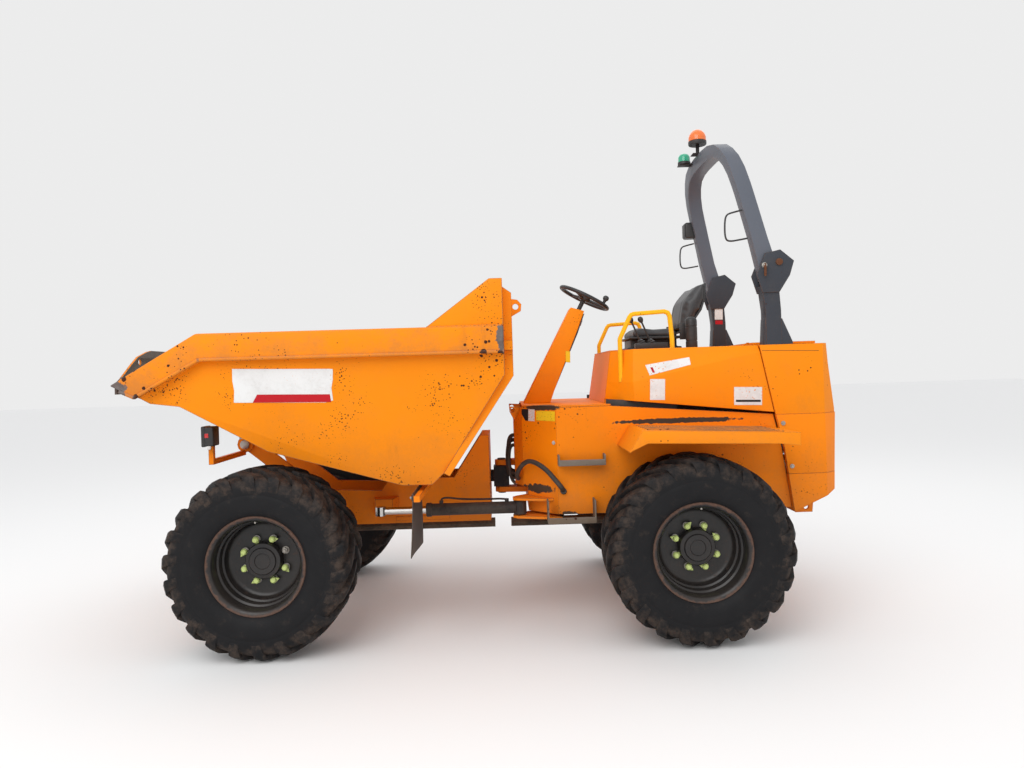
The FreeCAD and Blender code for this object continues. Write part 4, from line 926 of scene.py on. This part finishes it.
class DUMPER_OT_rear_frame(bpy.types.Operator):
    """Dress the rear frame: deck, steps, fenders, covers, labels and tail"""
    bl_idname = "dumper.rear_frame"
    bl_label = "Rear frame"

    def execute(self, context):
        edges = context.scene.dumper_edges
        dress("chassis orange with painted shade", "rear_chassis", "tow_jaw")
        dress("axle black", "rear_axle", "prop_rear")
        dress("engine iron", "engine")
        dress("body orange", "engine_cover")
        dress("rail yellow", "handrails")
        dress("black steel", "rear_grille")
        pressed("deck_with_worn_edge", "deck_plate", "chassis orange with painted shade", 0.003)
        pressed("folded_fenders", "fenders", "body orange", 0.0025)
        pressed("pressed_side_covers", "side_covers", "body orange", 0.005, angle=0.12)
        pressed("step_plates", "steps", "muddy steel", 0.003)
        pressed("tail_blocks", "rear_weight", "chassis orange with painted shade", edges.cast, 3)
        pressed("tail_surround", "tail_casing", "chassis orange with painted shade", 0.008)
        pressed("rear_cover", "rear_shell", "body orange", 0.006)
        pressed("engine_lid", "hood_lid", "body orange", 0.004, body="hood_lid")
        across = [FENDER_RIB_FROM + FENDER_RIB_STEP * k for k in range(FENDER_RIBS)]
        ribs = [rod((-0.95, y, 1.325), (-1.78, y, 1.2915), 0.0045, 8) for y in across]
        piece("fender_tread_ribs", both(*ribs), "rear_frame", ["muddy orange"])
        teeth = []
        for rear, front, z, reach in STEPS:
            for k in range(STEP_TEETH):
                x = rear + (front - rear) * (k + 0.5) / STEP_TEETH
                low, high = (x - 0.004, STEP_Y + 0.002, z - 0.002), (x + 0.004, STEP_Y + reach, z + 0.006)
                teeth.append(block(low, high, 0.001))
        piece("step_teeth", both(*teeth), "rear_frame", ["muddy steel"])
        heads = screws([(-1.935, 0.704, 1.308), (-1.986, 0.704, 1.021)], (0, 1, 0))
        x, z = -0.412, 1.22
        heads += screws([(x, surface_y("rear_chassis", x, z), z)], (0, 1, 0), 0.01)
        piece("rear_bolts", both(*heads), "rear_frame", ["zinc bolts"])
        labels = [(laid_on(node, outline, lift / 1000), finish)
                  for node, outline, lift, finish in REAR_LABELS]
        piece("rear_labels", labels, "rear_frame",
              ["label white", "label yellow", "black print and gap shade", "label red"])
        # A thin black strip on the shell along the lid's edge: painted shade in the gap between lid and
        # shell.
        seam = laid_on("rear_shell", [(-1.812, 1.7965), (-2.19, 1.784), (-2.19, 1.7815), (-1.812, 1.794)],
                       0.0002, 0.0006)
        piece("lid_gap_painted_shade", both(seam), "rear_frame", ["black print and gap shade"])
        seal = panel([(-0.775, 1.5), (-0.775, 1.44), (-1.25, 1.4), (-1.25, 1.47)], 0.612, 0.622, 0.002)
        piece("cover_seals", both(seal), "rear_frame", ["soft rubber"])
        low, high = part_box("rear_lamps")
        lamps = []
        for y in (0.5, -0.5):
            lamps.append((block((low.x + 0.002, y - 0.05, low.z), (high.x, y + 0.05, high.z), 0.004), 0))
            for finish in (1, 2, 3):
                z = low.z - 0.015 + finish * 0.027
                lens = block((low.x, y - 0.042, z), (low.x + 0.01, y + 0.042, z + 0.023), 0.003)
                lamps.append((lens, finish))
        piece("tail_lamps", lamps, "rear_frame",
              ["black plastic", "red lens", "amber lens", "clear lens"], ["rear_lamps"])
        latch = [block((-2.232, -0.05, 1.838), (-2.2, 0.05, 1.868), 0.004),
                 rod((-2.215, -0.035, 1.862), (-2.215, 0.035, 1.862), 0.007, 14, 0.002)]
        piece("lid_latch", latch, "hood_lid", ["black plastic"])
        return {"FINISHED"}


# Driver's place and seat

# Turned profiles, columns: distance along the axis, radius
WHEEL_BOSS = [(-0.022, 0), (-0.022, 0.034), (-0.004, 0.046), (0.008, 0.046), (0.016, 0.036), (0.019, 0)]
WHEEL_KNOB = [(0, 0), (0, 0.01), (0.016, 0.012), (0.03, 0.022), (0.046, 0.022), (0.056, 0.012), (0.058, 0)]
LEVER_BOOT = [(0, 0), (0, 0.03), (0.01, 0.026), (0.014, 0.03), (0.024, 0.02), (0.028, 0.022), (0.04, 0.01),
              (0.042, 0)]
LEVER_KNOB = [(-0.012, 0), (-0.012, 0.008), (0.004, 0.018), (0.02, 0.0195), (0.032, 0.012), (0.035, 0)]
AIR_BOWL = [(0, 0), (0, 0.037), (0.01, 0.041), (0.05, 0.041), (0.052, 0.0385), (0.058, 0.0385), (0.06, 0.041),
            (0.15, 0.041), (0.152, 0.0385), (0.158, 0.0385), (0.16, 0.041), (0.198, 0.041), (0.208, 0.038),
            (0.218, 0.031), (0.226, 0.018), (0.228, 0)]
COLUMN_HEAD = (-0.672, 0, 2.166)
COLUMN_AXIS = (-0.46, 0, 0.888)
GRIP_RING_R = 0.19
GRIP_R = 0.0145


class DUMPER_OT_driver_place(bpy.types.Operator):
    """Make the steering wheel, column trim, levers, air cleaner and seat suspension"""
    bl_idname = "dumper.driver_place"
    bl_label = "Driver's place"

    def execute(self, context):
        axis = Vector(COLUMN_AXIS).normalized()
        foot = Vector(COLUMN_HEAD)
        centre = foot + axis * 0.092
        angles = [2 * math.pi * k / 14 for k in range(14)]
        ring = [(GRIP_R * math.sin(a), GRIP_RING_R + GRIP_R * math.cos(a)) for a in angles]
        grip = turned(ring, centre, axis, 72)
        across = Vector((0, 1, 0))
        up = axis.cross(across)
        spokes = []
        for angle in (90, 210, 330):
            turn = math.radians(angle)
            way = across * math.cos(turn) + up * math.sin(turn)
            spokes.append(rod(centre - axis * 0.004 + way * 0.03, centre + way * 0.182, 0.0125, 14, 0.0,
                              0.0085))
        boss = turned(WHEEL_BOSS, centre, axis, 36)
        shaft = rod(foot - axis * 0.06, centre - axis * 0.01, 0.0165, 24)
        knob = turned(WHEEL_KNOB, centre + across * 0.13 + up * 0.139 + axis * 0.012, axis, 24)
        piece("grip_steering_wheel", [grip, boss, shaft, knob, *spokes], "steering_wheel",
              ["black plastic"], ["steering_wheel"], smooth=45)
        pressed("pressed_column", "steering_column", "body orange", 0.009, 3)
        back = panel([(-0.46, 1.575), (-0.463, 1.565), (-0.648, 1.98), (-0.702, 2.125), (-0.694, 2.12),
                      (-0.635, 1.985)], -0.1, 0.1, 0.002)
        dial = [turned([(0, 0), (0, 0.028), (0.006, 0.028), (0.009, 0.022), (0.009, 0)],
                       Vector((-0.676, y, 2.06)), Vector((-0.93, 0, -0.36)), 26) for y in (-0.05, 0.05)]
        sticker = panel([(-0.552, 1.85), (-0.586, 1.846), (-0.584, 1.762), (-0.55, 1.766)], 0.1104, 0.1116)
        piece("column_trim", [(back, 0), (dial[0], 2), (dial[1], 2), (sticker, 1)], "rear_frame",
              ["black plastic", "label yellow", "clear lens"])
        z = COVER_TOP
        parts = [block((-1.26, 0.295, z), (-1.03, 0.365, z + 0.048), 0.006)]
        for x in (-1.08, -1.15):
            start, end = Vector((x, 0.33, z + 0.04)), Vector((x + 0.07, 0.33, z + 0.205))
            way = (end - start).normalized()
            parts.append(rod(start, end, 0.0065, 14))
            parts.append(turned(LEVER_BOOT, start, way, 20))
            parts.append(turned(LEVER_KNOB, end, way, 20))
        piece("gripped_levers", parts, "rear_frame", ["black plastic"], ["control_levers"],
              smooth=45)
        bowl = turned(AIR_BOWL, (-1.435, 0.33, z), (0, 0, 1), 40)
        piece("ribbed_air_cleaner", [bowl], "rear_frame", ["black plastic"], ["air_cleaner"])
        pressed("seat_suspension", "seat_base", "black plastic", 0.008, 3)
        return {"FINISHED"}


# The seams pressed into the padding, and the cloth that puffs it
SEAM_Y = 0.13
SEAM_HALF = 0.012
SEAM_DEPTH = 0.007
PRESSURE = 4.0
CLOTH_STEPS = 14


def puffed(bm, name, voxel, swell):
    """Padding: the closed shape is remeshed, blown up as cloth and held within a distance of its start."""
    mesh = bpy.data.meshes.new(name)
    bm.to_mesh(mesh)
    bm.free()
    thing = bpy.data.objects.new(name, mesh)
    bpy.context.collection.objects.link(thing)
    for other in bpy.context.selected_objects:
        other.select_set(False)
    bpy.context.view_layer.objects.active = thing
    thing.select_set(True)
    remesh = thing.modifiers.new("remesh", "REMESH")
    remesh.mode = "VOXEL"
    remesh.voxel_size = voxel
    bpy.ops.object.modifier_apply(modifier="remesh")
    start = [v.co.copy() for v in mesh.vertices]
    cloth = thing.modifiers.new("cloth", "CLOTH")
    cloth.settings.use_pressure = True
    cloth.settings.uniform_pressure_force = PRESSURE
    cloth.settings.effector_weights.gravity = 0.0
    cloth.settings.quality = 5
    for step in range(1, CLOTH_STEPS + 1):
        bpy.context.scene.frame_set(step)
    bpy.ops.object.modifier_apply(modifier="cloth")
    bpy.context.scene.frame_set(1)
    for vert, place in zip(thing.data.vertices, start):
        move = vert.co - place
        if move.length > swell:
            vert.co = place + move * (swell / move.length)
    done = bmesh.new()
    done.from_mesh(thing.data)
    bpy.data.objects.remove(thing)
    return done


class DUMPER_OT_seat(bpy.types.Operator):
    """Make the padded seat cushion and back with their pans"""
    bl_idname = "dumper.seat"
    bl_label = "Seat"

    def execute(self, context):
        seat = context.scene.dumper_seat
        z = COVER_TOP
        margin = seat.swell
        shapes = {
            "cushion": ([(-1.036, z + 0.1), (-1.02, z + 0.132), (-1.048, z + 0.153), (-1.2, z + 0.136),
                         (-1.352, z + 0.142), (-1.38, z + 0.1)], 0.245, "seat_cushion"),
            "back": ([(-1.4, z + 0.142), (-1.418, z + 0.26), (-1.435, z + 0.345), (-1.487, z + 0.407),
                      (-1.557, z + 0.482), (-1.569, z + 0.472), (-1.563, z + 0.374), (-1.535, z + 0.294),
                      (-1.494, z + 0.232), (-1.436, z + 0.142)], 0.235, "seat_back"),
        }
        for name, (outline, half, node) in shapes.items():
            bm = panel(outline, -half + margin, half - margin, 0.02, 3)
            pad = puffed(bm, f"padded_seat_{name}", seat.voxel, seat.swell)
            for vert in pad.verts:
                depth = SEAM_DEPTH * (1 - abs(abs(vert.co.y) - SEAM_Y) / SEAM_HALF)
                if depth <= 0:
                    continue
                if name == "cushion" and vert.co.z > z + 0.12:
                    vert.co.z -= depth
                elif name == "back" and vert.co.x > -1.418 - 0.432 * (vert.co.z - z - 0.14):
                    vert.co.x -= depth
            for _ in range(3):
                bmesh.ops.smooth_vert(pad, verts=pad.verts, factor=0.5, use_axis_x=True, use_axis_y=True,
                                      use_axis_z=True)
            thing = piece(f"padded_seat_{name}", [pad], "rear_frame", ["seat vinyl"], [node],
                          smooth=60)
        pan = panel([(-1.03, z + 0.083), (-1.012, z + 0.09), (-1.012, z + 0.1), (-1.385, z + 0.1),
                     (-1.395, z + 0.083)], -0.225, 0.225, 0.003)
        shell = panel([(-1.438, z + 0.126), (-1.506, z + 0.224), (-1.549, z + 0.284), (-1.579, z + 0.372),
                       (-1.584, z + 0.476), (-1.572, z + 0.478), (-1.566, z + 0.376), (-1.537, z + 0.294),
                       (-1.494, z + 0.232), (-1.426, z + 0.134)], -0.2, 0.2, 0.003)
        arms = [block((-1.44, y - 0.008, z + 0.07), (-1.375, y + 0.008, z + 0.19), 0.004)
                for y in (-0.226, 0.226)]
        piece("seat_pans", [pan, shell, *arms], "rear_frame", ["black plastic"])
        return {"FINISHED"}


# Hoop

HOOP_Y = 0.646
PIN_HEAD = [(0, 0), (0, 0.024), (0.012, 0.022), (0.016, 0.012), (0.016, 0)]
PIN_LOCK = [(0, 0), (0, 0.018), (0.01, 0.018), (0.012, 0.009), (0.03, 0.009), (0.032, 0)]


def foot_of(node):
    """The middle of a frame node's underside."""
    low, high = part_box(node)
    return Vector(((low.x + high.x) / 2, (low.y + high.y) / 2, low.z))


class DUMPER_OT_hoop(bpy.types.Operator):
    """Make the roll-over hoop with its hinges, pins, grab loops, beacon and lamps"""
    bl_idname = "dumper.hoop"
    bl_label = "Roll-over hoop"

    def execute(self, context):
        edges = context.scene.dumper_edges
        pressed("hoop_tube", "rops_hoop", "hoop grey", edges.tube, 3, body="rops_hoop")
        # The sockets take the hoop grey darkened as painted shade.
        pressed("hoop_sockets", "rops_legs", "post grey with painted shade", 0.006)
        pressed("lamp_shelf", "lamp_bracket", "black steel", 0.002, body="rops_hoop")
        centre = foot_of("beacon")
        base = turned([(0, 0), (0, 0.064), (0.006, 0.0675), (0.026, 0.0675), (0.03, 0.063), (0.03, 0)],
                      centre, (0, 0, 1), 40)
        dome = [(0.026, 0), (0.026, 0.061), (0.032, 0.0655)]
        dome += [(0.036 + 0.006 * k, 0.0655 if k % 2 else 0.0642) for k in range(5)]
        dome += [(0.072, 0.0615), (0.088, 0.053), (0.102, 0.041), (0.112, 0.026), (0.117, 0.012), (0.118, 0)]
        lens = turned(dome, centre, (0, 0, 1), 48)
        piece("flashing_beacon", [(base, 0), (lens, 1)], "rops_hoop",
              ["black plastic", "amber lens"], ["beacon"], smooth=45)
        centre = foot_of("green_light")
        base = turned([(0, 0), (0, 0.049), (0.018, 0.049), (0.022, 0.044), (0.022, 0)], centre, (0, 0, 1), 32)
        lens = turned([(0.02, 0), (0.02, 0.046), (0.056, 0.045), (0.074, 0.036), (0.082, 0.018), (0.083, 0)],
                      centre, (0, 0, 1), 36)
        piece("seat_belt_light", [(base, 0), (lens, 1)], "rops_hoop",
              ["black plastic", "green lens"], ["green_light"], smooth=45)
        line = [(-1.75, 2.55), (-1.72, 2.545), (-1.62, 2.53), (-1.6, 2.56), (-1.6, 2.65), (-1.61, 2.71),
                (-1.65, 2.725), (-1.72, 2.74)]
        loops = both(hose([(x, 0.66, z) for x, z in line], 0.006))
        work_lamp = block((-1.735, -0.71, 2.78), (-1.64, -0.60, 2.91), 0.012, 3)
        arm = rod((-1.7, -HOOP_Y, 2.9), (-1.7, -HOOP_Y, 2.95), 0.012, 14)
        lamp_face = block((-1.642, -0.70, 2.792), (-1.634, -0.61, 2.898), 0.003)
        piece("hoop_grab_loops", [*loops, work_lamp, arm, lamp_face], "rops_hoop",
              ["black plastic"])
        pins = []
        for out in (LEFT, RIGHT):
            face = out * (HOOP_Y + 0.062)
            handle_y = face + out * 0.024
            head = turned(PIN_HEAD, (-1.94, face, 2.38), (0, out, 0), 26)
            lock = turned(PIN_LOCK, (-1.84, face, 2.36), (0, out, 0), 22)
            handle = rod((-1.84, handle_y, 2.37), (-1.838, handle_y, 2.285), 0.0085, 12)
            pins += [(head, 0), (lock, 1), (handle, 0)]
        piece("hinge_pins", pins, "rear_frame", ["rusty steel", "zinc bolts"])
        outlines = [[(-1.862, 2.215), (-1.928, 2.213), (-1.924, 2.09), (-1.858, 2.092)],
                    [(-1.862, 2.085), (-1.924, 2.083), (-1.923, 2.05), (-1.861, 2.052)]]
        labels = [(panel(outline, -0.5958, -0.5944), number) for number, outline in enumerate(outlines)]
        piece("hoop_labels", labels, "rear_frame", ["label white", "label red"])
        return {"FINISHED"}


# Stage

# columns: name, place, size in metres, watts
LIGHTS = [("key", (2.5, 7.5, 7.5), 7.0, 420.0), ("back", (-1.5, -4.0, 8.0), 8.0, 120.0)]
AIM = Vector((0, 0, 1.2))
SKY, SHOWN_SKY = (0.97, 0.98, 1.0, 1), (0.84, 0.84, 0.84, 1)
FLOOR_COLOUR, FLOOR_ROUGHNESS = (0.82, 0.815, 0.805, 1), 0.9
FLOOR_HALF = 60.0
FLOOR_DROP = 0.002
EYE = (-0.102, 5.813, 1.686)
ROLL = math.radians(1.8)
LENS, SENSOR = 27.04, 36.0
PICTURE_WIDTH = 1024
SHIFT_PIXELS = (6.4, -9.1)


class DUMPER_OT_stage(bpy.types.Operator):
    """Set the floor, the light and the camera"""
    bl_idname = "dumper.stage"
    bl_label = "Stage"

    def execute(self, context):
        scene = context.scene
        bm = bmesh.new()
        bmesh.ops.create_grid(bm, x_segments=1, y_segments=1, size=FLOOR_HALF)
        bmesh.ops.translate(bm, vec=(0, 0, -FLOOR_DROP), verts=bm.verts)
        mesh = bpy.data.meshes.new("floor")
        bm.to_mesh(mesh)
        bm.free()
        floor = bpy.data.objects.new("floor", mesh)
        context.collection.objects.link(floor)
        material = bpy.data.materials.new("pale floor")
        material.use_nodes = True
        shader = material.node_tree.nodes["Principled BSDF"]
        shader.inputs["Base Color"].default_value = FLOOR_COLOUR
        shader.inputs["Roughness"].default_value = FLOOR_ROUGHNESS
        mesh.materials.append(material)
        world = bpy.data.worlds.new("soft sky")
        scene.world = world
        world.use_nodes = True
        tree = world.node_tree
        background = tree.nodes["Background"]
        background.inputs["Color"].default_value = SKY
        background.inputs["Strength"].default_value = 1.0
        shown = add(tree, "ShaderNodeBackground", {"Color": SHOWN_SKY, "Strength": 1.0})
        path = add(tree, "ShaderNodeLightPath")
        seen = math_node(tree, "MAXIMUM", path.outputs["Is Camera Ray"], path.outputs["Is Glossy Ray"])
        mix = add(tree, "ShaderNodeMixShader", {0: seen, 1: background.outputs[0], 2: shown.outputs[0]})
        tree.links.new(mix.outputs[0], tree.nodes["World Output"].inputs["Surface"])
        for name, place, size, power in LIGHTS:
            light = bpy.data.lights.new(name, "AREA")
            light.size = size
            light.energy = power
            lamp = bpy.data.objects.new(name, light)
            lamp.location = place
            lamp.rotation_euler = (AIM - Vector(place)).to_track_quat("-Z", "Y").to_euler()
            context.collection.objects.link(lamp)
        camera = bpy.data.cameras.new("photo view")
        camera.lens = LENS
        camera.sensor_width = SENSOR
        camera.shift_x = SHIFT_PIXELS[0] / PICTURE_WIDTH
        camera.shift_y = SHIFT_PIXELS[1] / PICTURE_WIDTH
        camera.clip_end = 200.0
        eye = bpy.data.objects.new("photo view", camera)
        right = (-math.cos(ROLL), 0, -math.sin(ROLL))
        up = (-math.sin(ROLL), 0, math.cos(ROLL))
        turn = Matrix((right, up, (0, 1, 0))).transposed().to_4x4()
        eye.matrix_world = Matrix.Translation(EYE) @ turn
        context.collection.objects.link(eye)
        scene.camera = eye
        scene.view_settings.view_transform = "Standard"
        return {"FINISHED"}


# Panel and add-on

class DUMPER_PT_panel(bpy.types.Panel):
    """The dumper's pieces in the sidebar"""
    bl_label = "Dumper"
    bl_space_type = "VIEW_3D"
    bl_region_type = "UI"
    bl_category = "Dumper"

    def draw(self, context):
        for group in SETTINGS:
            settings = getattr(context.scene, group)
            box = self.layout.box()
            for name in settings.__annotations__:
                box.prop(settings, name)
        for operator in OPERATORS:
            self.layout.operator(operator.bl_idname)


SETTINGS = {"dumper_paint": DumperPaint, "dumper_wheels": DumperWheels, "dumper_seat": DumperSeat,
            "dumper_edges": DumperEdges}
OPERATORS = [DUMPER_OT_stage, DUMPER_OT_tyres, DUMPER_OT_rims, DUMPER_OT_skip, DUMPER_OT_front_frame,
             DUMPER_OT_rams, DUMPER_OT_hoses, DUMPER_OT_rear_frame, DUMPER_OT_driver_place, DUMPER_OT_seat,
             DUMPER_OT_hoop]
CLASSES = [*SETTINGS.values(), *OPERATORS, DUMPER_PT_panel]


def register():
    for cls in CLASSES:
        bpy.utils.register_class(cls)
    for name, cls in SETTINGS.items():
        setattr(bpy.types.Scene, name, bpy.props.PointerProperty(type=cls))


def unregister():
    for name in SETTINGS:
        delattr(bpy.types.Scene, name)
    for cls in reversed(CLASSES):
        bpy.utils.unregister_class(cls)


def main():
    register()
    build_groups()
    build_materials(bpy.context.scene.dumper_paint)
    for operator in OPERATORS:
        group, name = operator.bl_idname.split(".")
        getattr(getattr(bpy.ops, group), name)()


if __name__ == "__main__":
    main()
